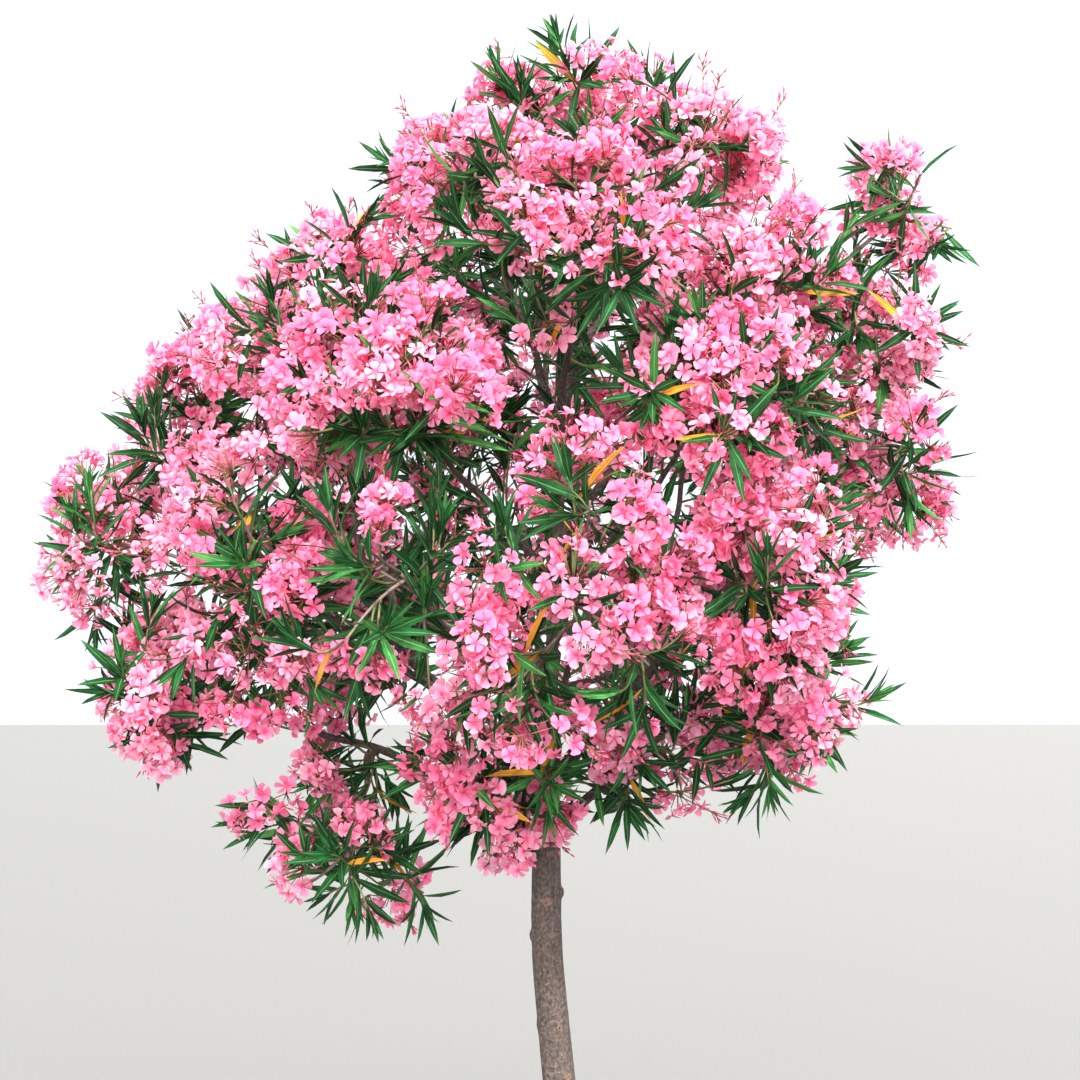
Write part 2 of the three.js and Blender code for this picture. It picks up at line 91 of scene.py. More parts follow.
floor = bpy.data.objects.new("floor", bpy.data.meshes.new("floor"))
half = FLOOR_SIZE / 2
corners = [(-half, -half, 0), (half, -half, 0), (half, half, 0), (-half, half, 0)]
floor.data.from_pydata(corners, [], [(0, 1, 2, 3)])
floor.data.materials.append(new_material("floor", Base_Color=srgb(FLOOR_COLOUR), Roughness=0.9)[0])
bpy.context.scene.collection.objects.link(floor)

world = bpy.data.worlds.new("studio")
world.use_nodes = True
world.node_tree.nodes["Background"].inputs["Color"].default_value = srgb(SKY_COLOUR)
world.node_tree.nodes["Background"].inputs["Strength"].default_value = SKY_STRENGTH
bpy.context.scene.world = world

for name, place, energy, spread in LIGHTS:
    lamp = bpy.data.objects.new(name, bpy.data.lights.new(name, "SUN"))
    lamp.data.energy = energy
    lamp.data.color = LAMP_COLOUR
    lamp.data.angle = math.radians(spread)
    lamp.rotation_euler = Vector(place).to_track_quat("Z", "Y").to_euler()
    bpy.context.scene.collection.objects.link(lamp)

# The limbs' middle lines: one stem, and a bough to each of the crown's masses of foliage, laid out by the
# rule that the solids were made by. Sizes in this section are in millimetres until they are scaled.
SOIL_TOP = 458
FORK_HEIGHT = 1400
STEM_SUNK = 12
STEM_KNOTS = [
    (0, 0, SOIL_TOP - STEM_SUNK),
    (-14, 4, 620),
    (-29, 6, 780),
    (-41, 6, 900),
    (-53, 4, 1043),
    (-55, 0, 1200),
    (-52, -4, FORK_HEIGHT),
]
KNOT_STEPS = 60
# Each mass: its name, middle and reach, the share of its shoots that flower, the limb that its bough
# leaves, how far along that limb, and the bough's girth there.
CROWN = [
    ("crest", (0, 20, 2800), 195, 0.5, "stem", 1.0, 22),
    ("left_shoulder", (-818, 30, 2088), 210, 0.75, "stem", 0.9, 17),
    ("right_tip", (628, 0, 2090), 190, 0.8, "stem", 0.95, 17),
    ("front_low", (0, -640, 1740), 240, 0.9, "stem", 0.93, 15),
    ("back_middle", (-120, 690, 2120), 300, 0.75, "stem", 0.97, 16),
    ("left_low", (-822, -60, 1618), 220, 0.8, "stem", 0.86, 14),
    ("right_low", (400, -60, 1548), 203, 0.7, "stem", 0.88, 13),
    ("top_right", (232, -60, 2708), 186, 0.95, "crest", 0.62, 12),
    ("top_left", (-205, -60, 2660), 186, 0.6, "crest", 0.56, 12),
    ("front_upper", (0, -450, 2430), 230, 0.7, "crest", 0.46, 12),
    ("back_top", (-90, 430, 2600), 270, 0.7, "crest", 0.5, 12),
    ("upper_left", (-520, -80, 2340), 210, 0.85, "left_shoulder", 0.55, 11),
    ("left_tip", (-942, -20, 1892), 203, 0.85, "left_shoulder", 0.62, 10),
    ("front_left", (-345, -480, 2135), 218, 0.8, "crest", 0.3, 11),
    ("front_left_low", (-570, -380, 1795), 230, 0.7, "left_shoulder", 0.3, 11),
    ("back_upper_left", (-560, 400, 2300), 265, 0.75, "left_shoulder", 0.45, 11),
    ("upper_right", (415, -120, 2415), 195, 0.7, "crest", 0.38, 12),
    ("right_upper", (612, 40, 2310), 207, 0.75, "right_tip", 0.5, 10),
    ("right_sprig", (702, 0, 2592), 142, 0.5, "upper_right", 0.6, 8),
    ("back_upper_right", (340, 440, 2330), 275, 0.75, "right_tip", 0.3, 11),
    ("front_right", (265, -480, 2135), 230, 0.75, "crest", 0.22, 11),
    ("front_right_low", (330, -470, 1820), 224, 0.95, "right_tip", 0.2, 10),
    ("front_green", (-322, -560, 1790), 210, 0.2, "front_low", 0.4, 9),
    ("hanging_left", (-450, -160, 1264), 196, 0.4, "left_low", 0.6, 9),
    ("low_front", (-150, -250, 1420), 205, 0.4, "front_low", 0.2, 9),
    ("low_right", (140, -170, 1470), 180, 0.8, "right_low", 0.4, 9),
    ("back_low_left", (-520, 470, 1805), 250, 0.75, "back_middle", 0.35, 12),
    ("back_low_right", (330, 470, 1740), 270, 0.75, "back_middle", 0.25, 12),
]
# A bough ends on the near side of its mass, at the first of these shares of the reach that leaves room
# for it, or else at the last end.
BOUGH_ENDS = (0.8, 0.7, 0.6, 0.5, 0.4, 0.3, 0.2)
LAST_END = 0.1
FOOT_ROOM = 16
BOUGH_POINTS = 201
PARENT_SHARE = 0.5
LEAVING_PULL = 0.35
ARRIVING_PULL = 0.3

names = [row[0] for row in CROWN]
middles = np.array([row[1] for row in CROWN]) / 1000
reaches = np.array([row[2] for row in CROWN]) / 1000


def unit(vectors):
    """Vectors divided by their own lengths."""
    return vectors / np.maximum(np.linalg.norm(vectors, axis=-1, keepdims=True), 1e-12)


def blend(first, second, share):
    """The point that lies the given share of the way from the first to the second."""
    return first + (second - first) * share


def bezier(controls, steps):
    """Points on Bezier curves at even shares: neighbouring controls are blended until one point is left."""
    share = np.linspace(0, 1, steps)[:, None]
    points = [np.asarray(control, dtype=float)[..., None, :] for control in controls]
    while len(points) > 1:
        points = [blend(first, second, share) for first, second in zip(points, points[1:])]
    return points[0]


def even(path):
    """The same path with its points an even length apart."""
    length = np.concatenate([[0], np.cumsum(np.linalg.norm(np.diff(path, axis=0), axis=1))])
    wanted = np.linspace(0, length[-1], len(path))
    return np.stack([np.interp(wanted, length, path[:, axis]) for axis in range(3)], axis=1)


def spline(knots, steps):
    """A centripetal Catmull-Rom curve: between two knots a cubic whose slopes there come from the knots
    beside them, each weighed by the square root of the distance to it."""
    knots = np.asarray(knots, dtype=float)
    knots = np.concatenate([[2 * knots[0] - knots[1]], knots, [2 * knots[-1] - knots[-2]]])
    gaps = np.sqrt(np.linalg.norm(np.diff(knots, axis=0), axis=1))[:, None]
    slopes = np.diff(knots, axis=0) / gaps
    around = (knots[2:] - knots[:-2]) / (gaps[:-1] + gaps[1:])
    bends = slopes[:-1] - around + slopes[1:]
    share = np.linspace(0, 1, steps)[:, None]
    pieces = []
    for i in range(len(knots) - 3):
        start, end = knots[i + 1], knots[i + 2]
        out, into = bends[i] * gaps[i + 1], bends[i + 1] * gaps[i + 1]
        cubic = (2 * start - 2 * end + out + into) * share**3
        pieces.append(cubic + (3 * end - 3 * start - 2 * out - into) * share**2 + out * share + start)
    return np.concatenate([pieces[0], *(piece[1:] for piece in pieces[1:])])


def at(path, share):
    """The points at shares of an even path's length."""
    place = np.clip(np.asarray(share, dtype=float), 0, 1) * (len(path) - 1)
    step = np.minimum(place.astype(int), len(path) - 2)
    return blend(path[step], path[step + 1], (place - step)[..., None])


def heading(path, share):
    """The direction of an even path at a share of its length."""
    return unit(at(path, share + 0.005) - at(path, share - 0.005))


def room(index, place):
    """The distance from a place to the nearest face of a mass's own space. A face lies where the squared
    distance from the middle less the squared reach is the same for two masses."""
    power = ((place - middles) ** 2).sum(axis=1) - reaches**2
    apart = np.linalg.norm(middles - middles[index], axis=1)
    others = apart > 0
    return ((power[others] - power[index]) / (2 * apart[others])).min()


def bough_path(index, parent, leaves_at):
    """A cubic Bezier curve from the parent limb to the near side of a mass. It leaves between the
    parent's own direction and the straight way, and arrives between the straight way and the way to the
    mass's middle."""
    middle, reach = middles[index], reaches[index]
    start = at(parent, leaves_at)
    inward = unit(start - middle)
    ends = [middle + inward * share * reach for share in BOUGH_ENDS]
    ends = [end for end in ends if room(index, end) > FOOT_ROOM / 1000]
    end = (ends + [middle + inward * LAST_END * reach])[0]
    length = np.linalg.norm(end - start)
    away = unit(end - start)
    leaving = unit(PARENT_SHARE * heading(parent, leaves_at) + away)
    arriving = unit(unit(middle - end) + away)
    first_bend = start + leaving * LEAVING_PULL * length
    last_bend = end - arriving * ARRIVING_PULL * length
    return even(bezier((start, first_bend, last_bend, end), BOUGH_POINTS))


limbs = {"stem": even(spline(STEM_KNOTS, KNOT_STEPS)) / 1000}
for index, (name, _, _, _, parent, leaves_at, _) in enumerate(CROWN):
    limbs[name] = bough_path(index, limbs[parent], leaves_at)

# Bark: grey-brown and close-grained, with shallow wrinkles along the limb, healed stubs and round leaf
# scars. One mesh holds the stem, flared at its foot, and the boughs, each with a collar where it leaves
# its parent.
STEM_SIDES = 72
STEM_RINGS = 240
STEM_RADIUS = 36
STEM_TAPER = 0.82
FLARE_OUT = 24
FLARE_HEIGHT = 42
ROOTS = 5
ROOT_OUT = 3.5
ROOT_HEIGHT = 60
TUCKED_AT_FORK = 5
STEM_WAVES = (9, 14, 23, 37)
STEM_RELIEF = 0.0007
STEM_RELIEF_LENGTH = 0.95
STEM_GRAIN_LENGTH = 0.96
STEM_GRAIN_RADIUS = 0.03
# Healed stubs and scars: share of the stem's length, bearing in degrees, how far they stand out, how wide
# they are, both in millimetres, and how many times as tall.
WOUNDS = [
    (0.75, 8, 10, 10, 1),
    (0.66, 188, 7, 9, 1),
    (0.36, -60, 9, 12, 1),
    (0.735, -90, 3.0, 14, 1.1),
    (0.728, -122, 1.8, 6, 1.2),
    (0.835, -82, 2.2, 4.5, 2.4),
    (0.838, -66, 2.4, 4, 2.8),
    (0.83, -52, 2.2, 4, 2.2),
    (0.6, -38, 2.4, 4, 3.0),
    (0.576, -84, 1.6, 5, 0.8),
    (0.56, -98, 1.6, 5, 0.9),
    (0.465, -68, 2.4, 9, 1.1),
    (0.24, -104, 2.4, 9, 1),
    (0.58, 40, 2.6, 8, 1),
    (0.78, 120, 2.6, 9, 1),
    (0.3, 100, 3.0, 11, 1),
    (0.47, 172, 2.4, 8, 1),
]
# The pit in the middle of each, in shares of how far it stands out and of its width, and its stain's
# width.
PIT_DEPTH = 0.55
PIT_WIDTH = 0.42
STAIN_WIDTH = 0.6
BOUGH_SIDES = 16
BOUGH_RINGS = 44
BOUGH_END_RADIUS = 5
BOUGH_TAPER = 0.8
BOUGH_SWAY = 0.006
SWAY_LENGTH = 0.23
COLLAR_OUT = 0.35
COLLAR_LENGTH = 0.045
NODE_OUT = 0.05
NODE_SPACING = 0.11
BOUGH_WAVES = (5, 7, 11)
BOUGH_RELIEF = 0.05


def circle(sides):
    """Angles at even steps round a circle."""
    return np.linspace(0, 2 * np.pi, sides, endpoint=False)


def square(directions):
    """A direction square to each of those given: level, or for a steep one square to the x axis."""
    guide = np.where(np.abs(directions[..., 2:]) < 0.9, (0.0, 0.0, 1.0), (1.0, 0.0, 0.0))
    return unit(np.cross(directions, guide))


def tube_corners(paths, radii, sides):
    """Rings of corners round paths: each corner is its path's point plus the ring's radius times the
    cosine and the sine of its angle along two directions square to the path, which turn no more than they
    must from one point to the next. A radius may differ from corner to corner."""
    ahead = unit(np.gradient(paths, axis=1))
    across = np.empty_like(ahead)
    across[:, 0] = square(ahead[:, 0])
    for k in range(1, paths.shape[1]):
        carried = across[:, k - 1]
        across[:, k] = unit(carried - ahead[:, k] * (carried * ahead[:, k]).sum(axis=1, keepdims=True))
    beyond = np.cross(ahead, across)
    angle = circle(sides)[:, None]
    out = across[:, :, None] * np.cos(angle) + beyond[:, :, None] * np.sin(angle)
    radii = radii[..., None] if radii.ndim == 2 else radii
    return paths[:, :, None] + out * radii[..., None]


def tube_faces(count, rings, sides):
    """Faces of tubes made of rings of corners: four-cornered ones between neighbours, one on each end."""
    ring = np.arange(rings - 1)[:, None] * sides
    side = np.arange(sides)
    beside = (side + 1) % sides
    wall = [ring + side, ring + beside, ring + sides + beside, ring + sides + side]
    wall = np.stack(wall, axis=-1).reshape(-1, 4)
    ends = np.stack([side[::-1], (rings - 1) * sides + side])
    step = (np.arange(count) * rings * sides)[:, None, None]
    return [(wall + step).reshape(-1, 4), (ends + step).reshape(-1, sides)]


def new_piece(name, corners, faces, material, replaced, uv=None, grain=None):
    """A smooth-shaded piece joined from rows of faces, which rides on the body and stands for the solids
    named. It may hold two pattern coordinates for each corner, or the place of each corner in a
    straightened limb."""
    mesh = bpy.data.meshes.new(name)
    corners = np.asarray(corners, dtype=np.float32).reshape(-1, 3)
    used = np.concatenate([rows.ravel() for rows in faces]).astype(np.int32)
    sizes = np.concatenate([np.full(len(rows), rows.shape[1], dtype=np.int32) for rows in faces])
    mesh.vertices.add(len(corners))
    mesh.vertices.foreach_set("co", corners.ravel())
    mesh.loops.add(len(used))
    mesh.loops.foreach_set("vertex_index", used)
    mesh.polygons.add(len(sizes))
    mesh.polygons.foreach_set("loop_start", np.cumsum(sizes, dtype=np.int32) - sizes)
    mesh.polygons.foreach_set("use_smooth", np.ones(len(sizes), dtype=bool))
    if uv is not None:
        layer = mesh.uv_layers.new(name="UVMap")
        layer.uv.foreach_set("vector", np.asarray(uv, dtype=np.float32).reshape(-1, 2)[used].ravel())
    if grain is not None:
        layer = mesh.attributes.new("grain", "FLOAT_VECTOR", "POINT")
        layer.data.foreach_set("vector", np.asarray(grain, dtype=np.float32).ravel())
    mesh.update(calc_edges=True)
    mesh.materials.append(material)
    piece = bpy.data.objects.new(name, mesh)
    bpy.context.scene.collection.objects.link(piece)
    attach(piece, "root")
    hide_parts(*replaced)
    return piece


def node(tree, kind, inputs=(), **settings):
    """One shader node with its settings; each input is linked to a socket or set to a value."""
    made = tree.nodes.new(kind)
    for key, value in settings.items():
        setattr(made, key, value)
    for key, value in dict(inputs).items():
        if isinstance(value, bpy.types.NodeSocket):
            tree.links.new(value, made.inputs[key])
        else:
            made.inputs[key].default_value = value
    return made


def mapped(tree, place, scale=(1, 1, 1)):
    """A place through a Mapping node with that scale."""
    return node(tree, "ShaderNodeMapping", {"Vector": place, "Scale": scale}).outputs["Vector"]


def noise(tree, place, size, detail=4.0):
    """Noise from 0 to 1 with features of about that size in metres."""
    inputs = {"Vector": place, "Scale": 1 / size, "Detail": detail}
    return node(tree, "ShaderNodeTexNoise", inputs).outputs["Fac"]


def maths(tree, operation, *values):
    """The result of one Math node, whose values are sockets or numbers."""
    return node(tree, "ShaderNodeMath", dict(enumerate(values)), operation=operation).outputs[0]


def ramp(tree, value, *stops):
    """Colours by value: each stop is its place and its sRGB hex code."""
    made = node(tree, "ShaderNodeValToRGB", {"Fac": value})
    elements = made.color_ramp.elements
    elements[0].position, elements[1].position = stops[0][0], stops[-1][0]
    elements[0].color, elements[1].color = srgb(stops[0][1]), srgb(stops[-1][1])
    for where, colour in stops[1:-1]:
        elements.new(where).color = srgb(colour)
    return made.outputs["Color"]


def ranged(tree, value, low, high, to_low=0.0, to_high=1.0):
    """A value moved from one range to another and held inside it."""
    inputs = {"Value": value, "From Min": low, "From Max": high, "To Min": to_low, "To Max": to_high}
    return node(tree, "ShaderNodeMapRange", inputs).outputs["Result"]


def mixed(tree, factor, first, second):
    """Two colours mixed by a factor: the first is a socket and the second an sRGB hex code."""
    inputs = {0: factor, 6: first, 7: srgb(second)}
    return node(tree, "ShaderNodeMix", inputs, data_type="RGBA").outputs[2]


def surfaced(tree, shader, colour, *layers):
    """Gives a shader its colour and its bumps: each layer is a height and its depth in metres."""
    tree.links.new(colour, shader.inputs["Base Color"])
    normal = None
    for height, depth in layers:
        inputs = {"Height": height, "Distance": depth} | ({"Normal": normal} if normal else {})
        normal = node(tree, "ShaderNodeBump", inputs).outputs["Normal"]
    tree.links.new(normal, shader.inputs["Normal"])


def bark_material(dark, middle, light, moss, torn_wood, hollow):
    """Bark: wrinkles drawn out along the limb, blotches, small pale corky spots, dark pits, and wounds
    with a rim of torn wood round a dark hollow. Patterns follow the straightened limb."""
    material, tree, shader = new_material("bark", Roughness=0.9)
    grain = node(tree, "ShaderNodeAttribute", attribute_name="grain").outputs["Vector"]
    wound = node(tree, "ShaderNodeAttribute", attribute_name="wound").outputs["Fac"]
    drawn_out = mapped(tree, grain, (1, 1, 0.8))
    streaks = noise(tree, mapped(tree, grain, (1, 1, 0.75)), 0.006, 6.0)
    fine = noise(tree, drawn_out, 0.0022, 3.0)
    blotches = noise(tree, mapped(tree, grain), 0.07, 3.0)
    patches = ranged(tree, noise(tree, mapped(tree, grain), 0.03, 2.0), 0.42, 0.6, 0.15, 1.0)
    spots = node(tree, "ShaderNodeTexVoronoi", {"Vector": drawn_out, "Scale": 105.0})
    cork = maths(tree, "MULTIPLY", ranged(tree, spots.outputs["Distance"], 0.08, 0.2, 1.0, 0.0), patches)
    pits = ranged(tree, noise(tree, drawn_out, 0.0085, 1.0), 0.56, 0.66)
    torn = maths(tree, "MULTIPLY", wound, ranged(tree, streaks, 0.2, 0.6))
    colour = ramp(tree, streaks, (0.26, dark), (0.5, middle), (0.78, light))
    colour = mixed(tree, ranged(tree, blotches, 0.5, 0.72, 0.0, 0.45), colour, moss)
    colour = mixed(tree, ranged(tree, fine, 0.35, 0.7, 0.0, 0.45), colour, dark)
    colour = mixed(tree, ranged(tree, cork, 0.0, 1.0, 0.0, 0.5), colour, light)
    colour = mixed(tree, ranged(tree, pits, 0.0, 1.0, 0.0, 0.55), colour, dark)
    colour = mixed(tree, ranged(tree, torn, 0.08, 0.4, 0.0, 0.6), colour, torn_wood)
    colour = mixed(tree, ranged(tree, torn, 0.5, 0.72, 0.0, 0.85), colour, hollow)
    surfaced(tree, shader, colour, (streaks, 0.0034), (fine, 0.0018), (cork, 0.0008), (pits, -0.001))
    return material


def wrinkles(angle, along, seed, waves):
    """Relief of bark round and along a limb: the sum of crests 1 - |sin| whose angle turns slowly with
    height, each lower as its count round the limb rises."""
    random = np.random.default_rng(seed)
    relief = np.zeros(np.broadcast_shapes(angle.shape, along.shape))
    for count in waves:
        turn, phase, drift = random.uniform(0, 2 * np.pi, 3)
        sway = 1.7 * np.sin(along * random.uniform(14, 30) + drift)
        sway = sway + 0.9 * np.sin(along * random.uniform(50, 90))
        strength = 0.6 + 0.4 * np.sin(along * random.uniform(20, 60) + phase)
        crest = 1 - np.abs(np.sin(0.5 * count * angle + turn + sway))
        relief += strength * (crest - 0.5) * (waves[0] / count) ** 0.6
    return relief


def limb_parts(path, radius, spot, wound):
    """One limb as corners, faces, the corners' places in the straightened limb, and how far each lies in
    a wound."""
    rings, sides = radius.shape
    corners = tube_corners(path[None], radius[None], sides).reshape(-1, 3)
    grain = np.stack(np.broadcast_arrays(*spot), axis=-1).reshape(-1, 3)
    return corners, tube_faces(1, rings, sides), grain, wound.ravel()


def stem_parts():
    """The stem. Its radius is a taper, plus a flare and root swellings that fade with height, plus wounds
    that fall off as a bell with distance and have a smaller bell taken out, plus wrinkles."""
    angle = circle(STEM_SIDES)
    compass = angle + np.pi / 2
    share = np.linspace(0, 1, STEM_RINGS)[:, None]
    rise = share * (FORK_HEIGHT - SOIL_TOP)
    radius = blend(STEM_RADIUS, STEM_TAPER * STEM_RADIUS, share) + FLARE_OUT * np.exp(-rise / FLARE_HEIGHT)
    roots = np.cos(ROOTS * angle + 0.7 + 0.4 * np.sin(2 * angle))
    radius = radius + ROOT_OUT * roots * np.exp(-rise / ROOT_HEIGHT) - TUCKED_AT_FORK * share**8
    wound = np.zeros(radius.shape)
    for where, turn, out, wide, tall in WOUNDS:
        sideways = ((compass - math.radians(turn) + np.pi) % (2 * np.pi) - np.pi) * STEM_RADIUS
        far = np.hypot(sideways, (share - where) * (FORK_HEIGHT - SOIL_TOP) / tall) / wide
        pit = PIT_DEPTH * np.exp(-((far / PIT_WIDTH) ** 2))
        radius = radius + out * (np.exp(-(far**2)) - pit)
        wound = np.maximum(wound, np.exp(-((far / STAIN_WIDTH) ** 2)))
    radius = radius / 1000 + STEM_RELIEF * wrinkles(angle, share * STEM_RELIEF_LENGTH, 5, STEM_WAVES)
    spot = (STEM_GRAIN_RADIUS * np.cos(angle), STEM_GRAIN_RADIUS * np.sin(angle), STEM_GRAIN_LENGTH * share)
    return limb_parts(at(limbs["stem"], share[:, 0]), radius, spot, wound)


def bough_parts(index, name):
    """One bough. Its line sways by sines of its length. Its radius is a taper, plus a collar that fades
    from its foot, plus the swellings of old leaf nodes, plus wrinkles."""
    girth = CROWN[index][-1] / 1000
    angle = circle(BOUGH_SIDES)
    share = np.linspace(0, 1, BOUGH_RINGS)[:, None]
    path = at(limbs[name], share[:, 0])
    along = share * np.linalg.norm(np.diff(path, axis=0), axis=1).sum()
    sway = np.sin(along * 2 * np.pi / SWAY_LENGTH + index + np.array((0, 2, 4))) * np.sin(np.pi * share)
    taper = blend(girth, BOUGH_END_RADIUS / 1000, share**BOUGH_TAPER)
    collar = COLLAR_OUT * girth * np.exp(-along / COLLAR_LENGTH)
    swelling = NODE_OUT * taper * np.maximum(0, np.sin(along * 2 * np.pi / NODE_SPACING + index)) ** 6
    relief = BOUGH_RELIEF * taper * wrinkles(angle, along, 40 + index, BOUGH_WAVES)
    radius = taper + collar + swelling + relief
    spot = (girth * np.cos(angle), girth * np.sin(angle) + index, along)
    return limb_parts(path + BOUGH_SWAY * sway, radius, spot, np.zeros(radius.shape))


parts = [stem_parts()] + [bough_parts(index, name) for index, name in enumerate(names)]
corners, faces, grain, wound = zip(*parts)
firsts = np.cumsum([0] + [len(rows) for rows in corners])
faces = [rows + first for limb_faces, first in zip(faces, firsts) for rows in limb_faces]
bark = bark_material("2f2724", "554944", "7c6f68", "48403a", "836555", "33241f")
limb_nodes = ["trunk"] + ["bough_" + name for name in names]
grain = np.concatenate(grain)
piece = new_piece("limbs", np.concatenate(corners), faces, bark, limb_nodes, grain=grain)
layer = piece.data.attributes.new("wound", "FLOAT", "POINT")
layer.data.foreach_set("value", np.concatenate(wound).astype(np.float32))

# The branches and shoots: from each bough's tip a leader runs on to the middle of its mass and forks into
# branches, and these into shoots, whose tips the solids' rule spreads by the golden angle over the outer
# side of the mass. Each keeps to its mass's own space. Short leafy spurs grow on the boughs too.
CROWN_HEART = (-0.14, 0, 1.85)
GOLDEN_ANGLE = math.pi * (3 - math.sqrt(5))
WIDEST_ANGLE = 100
SPREAD = 1.45
HUB_INWARD = 0.05
TWIG_POINTS = 14
TWIG_SIDES = 6
LEADER_RADII = (0.0052, 0.0036)
LEADER_OVERLAP = 0.004
LEADER_ARCH = 0.012
BRANCH_RADII = (0.0038, 0.0022)
BRANCH_EVERY = 62
BRANCH_FORKING = 0.7
BRANCH_REACH = 0.62
BRANCH_ROOM = 0.03
BRANCH_PULL = 0.3
BRANCH_BEND = 0.35
BRANCH_SAG = 0.06
SHOOT_POINTS = 8
SHOOT_SIDES = 4
SHOOT_RADII = (0.0028, 0.0017)
SHOOT_EVERY = 0.0105
SHOOT_ROOM = 0.01
SHOOT_SCATTER = 0.12
SHOOT_LENGTHS = (0.84, 1.08)
SHOOT_STARTS = (0.3, 0.95)
SHOOT_PULL = 0.35
SHOOT_BEND = 0.35
SHORTEST_SHOOT = 0.06
LEAST_OUT = 0.2
# Shoots inside a mass: how many, how far out in reaches, how near the middle of the outer side the first
# one aims and the last one, and the widest angle of these.
INNER_SHOOTS = {"front": 8, "back": 20}
INNER_REACH = 0.8
INNER_RINGS = (0.55, 1.0)
INNER_ANGLE = 165
INNER_BLOOM = 0.5
# Each next shoot of a mass goes on by this step, and flowers if what is past the whole is below its
# bloom.
FLOWER_STEP = 0.7549
FLOWER_START = 0.6
HEAD_RADIUS = (0.058, 0.082)
HEADROOM = 1.2
TUFT_ROOM = 0.082
CREST_TUFT_ROOM = 0.045
FLOWERING_LEAFY = 0.66
# How far a shoot's bend lies below the straight way, in its own lengths, and how much more that is for a
# leafy one. In the low masses it lies above, so that their shoots arch over and hang.
SAG = 0.1
LEAFY_SAG = 0.35
HANGING = {"hanging_left": -0.22, "low_front": -0.04, "low_right": -0.05, "right_low": -0.02}
# The lowest height of a flowering tip in some masses, and how much higher leafy ones stay.
LOWEST_TIP = {"left_low": 1.5, "left_tip": 1.74, "hanging_left": 1.08}
LEAFY_HIGHER = 0.07
# Masses whose share of flowering shoots is read off the photograph more closely than the solids need it.
SEEN_BLOOM = {
    "crest": 0.45,
    "front_upper": 0.78,
    "front_right": 0.82,
    "upper_right": 0.7,
    "front_green": 0.22,
    "left_low": 0.68,
    "front_low": 0.8,
    "front_right_low": 0.75,
    "right_low": 0.55,
    "low_right": 0.5,
    "low_front": 0.4,
    "hanging_left": 0.3,
    "right_sprig": 0.8,
}
# Masses that are fuller or thinner than their reach gives, and by how many times.
MORE_SHOOTS = {
    "front_left": 1.25,
    "front_right": 1.3,
    "front_upper": 1.15,
    "hanging_left": 0.7,
    "back_middle": 1.15,
    "back_top": 1.15,
}
# How many times the length of its aim a shoot may run on to fill its mass's own space.
FURTHER = dict.fromkeys(names, 1.35)
FURTHER |= dict.fromkeys(("right_sprig", "hanging_left", "low_front", "low_right", "left_tip"), 1.0)
FURTHER |= dict.fromkeys(("left_low", "left_shoulder", "right_low", "upper_right"), 1.0)
FURTHER |= dict.fromkeys(("back_middle", "back_top", "back_upper_left", "back_upper_right"), 1.6)
FURTHER |= {"top_left": 1.2, "right_tip": 1.6}
# Spurs on a bough: how many, between which shares of it and which lengths, how much of the bough's
# direction they take and what they add to it, how far they scatter from that, the size of their heads,
# how leafy they are, and whether every second one flowers.
SPURS = {
    "count": 6,
    "shares": (0.4, 0.97),
    "lengths": (0.1, 0.26),
    "along": 0.9,
    "lean": (0, 0, 0.25),
    "scatter": 0.75,
    "head": TUFT_ROOM,
    "leafy": 0.5,
    "flower": False,
}
HANGING_SPURS = {
    "count": 8,
    "shares": (0.02, 0.4),
    "lengths": (0.07, 0.182),
    "along": 0,
    "lean": (-0.45, -0.5, -0.65),
    "scatter": 0.45,
    "head": 0.06,
    "leafy": 0.8,
    "flower": True,
}
SPURS_OF = {"left_low": SPURS | {"shares": (0.66, 0.97)}, "hanging_left": HANGING_SPURS}
SPUR_BOW = 0.5
SHOOT_KEYS = ("start", "bend", "tip", "flowers", "head", "outward", "leafy")
MASS_NODES = ["mass_" + name for name in names]

blooms = [SEEN_BLOOM.get(row[0], row[3]) for row in CROWN]


def first_turn(seed):
    """The first number that the solids' 32-bit mixing generator gives for a seed, as an angle."""
    state = (seed + 0x6D2B79F5) & 0xFFFFFFFF
    mixed_up = ((state ^ state >> 15) * (state | 1)) & 0xFFFFFFFF
    mixed_up ^= (mixed_up + ((mixed_up ^ mixed_up >> 7) * (mixed_up | 61) & 0xFFFFFFFF)) & 0xFFFFFFFF
    return ((mixed_up ^ mixed_up >> 14) & 0xFFFFFFFF) / 4294967296 * 2 * math.pi


def turned(vectors, axis, angle):
    """Vectors turned round an axis that is square to them."""
    angle = np.asarray(angle)[..., None]
    return vectors * np.cos(angle) + np.cross(axis, vectors) * np.sin(angle)


def aims_of(index, outward, rings, steps, widest=WIDEST_ANGLE):
    """Points spread over the outer side of a mass: the cosine from the outward direction falls evenly to
    that of the widest angle in degrees, the golden angle turns each from the last, and the sideways part
    is stretched."""
    across = turned(square(outward), outward, first_turn(101 + index))
    beyond = unit(np.cross(outward, across))
    height = blend(1, math.cos(math.radians(widest)), rings)[:, None]
    width = SPREAD * np.sqrt(1 - height**2)
    angle = (steps * GOLDEN_ANGLE)[:, None]
    return reaches[index] * (outward * height + width * (across * np.cos(angle) + beyond * np.sin(angle)))


def free_length(index, directions, margin):
    """How far one can go from a mass's middle in each direction and stay that margin inside its space."""
    apart = np.delete(middles - middles[index], index, axis=0)
    gap = np.linalg.norm(apart, axis=1)
    others = np.delete(reaches, index)
    face = (gap**2 + reaches[index] ** 2 - others**2) / (2 * gap)
    towards = directions @ (apart / gap[:, None]).T
    return np.where(towards > 1e-6, (face - margin) / np.maximum(towards, 1e-6), np.inf).min(axis=1)


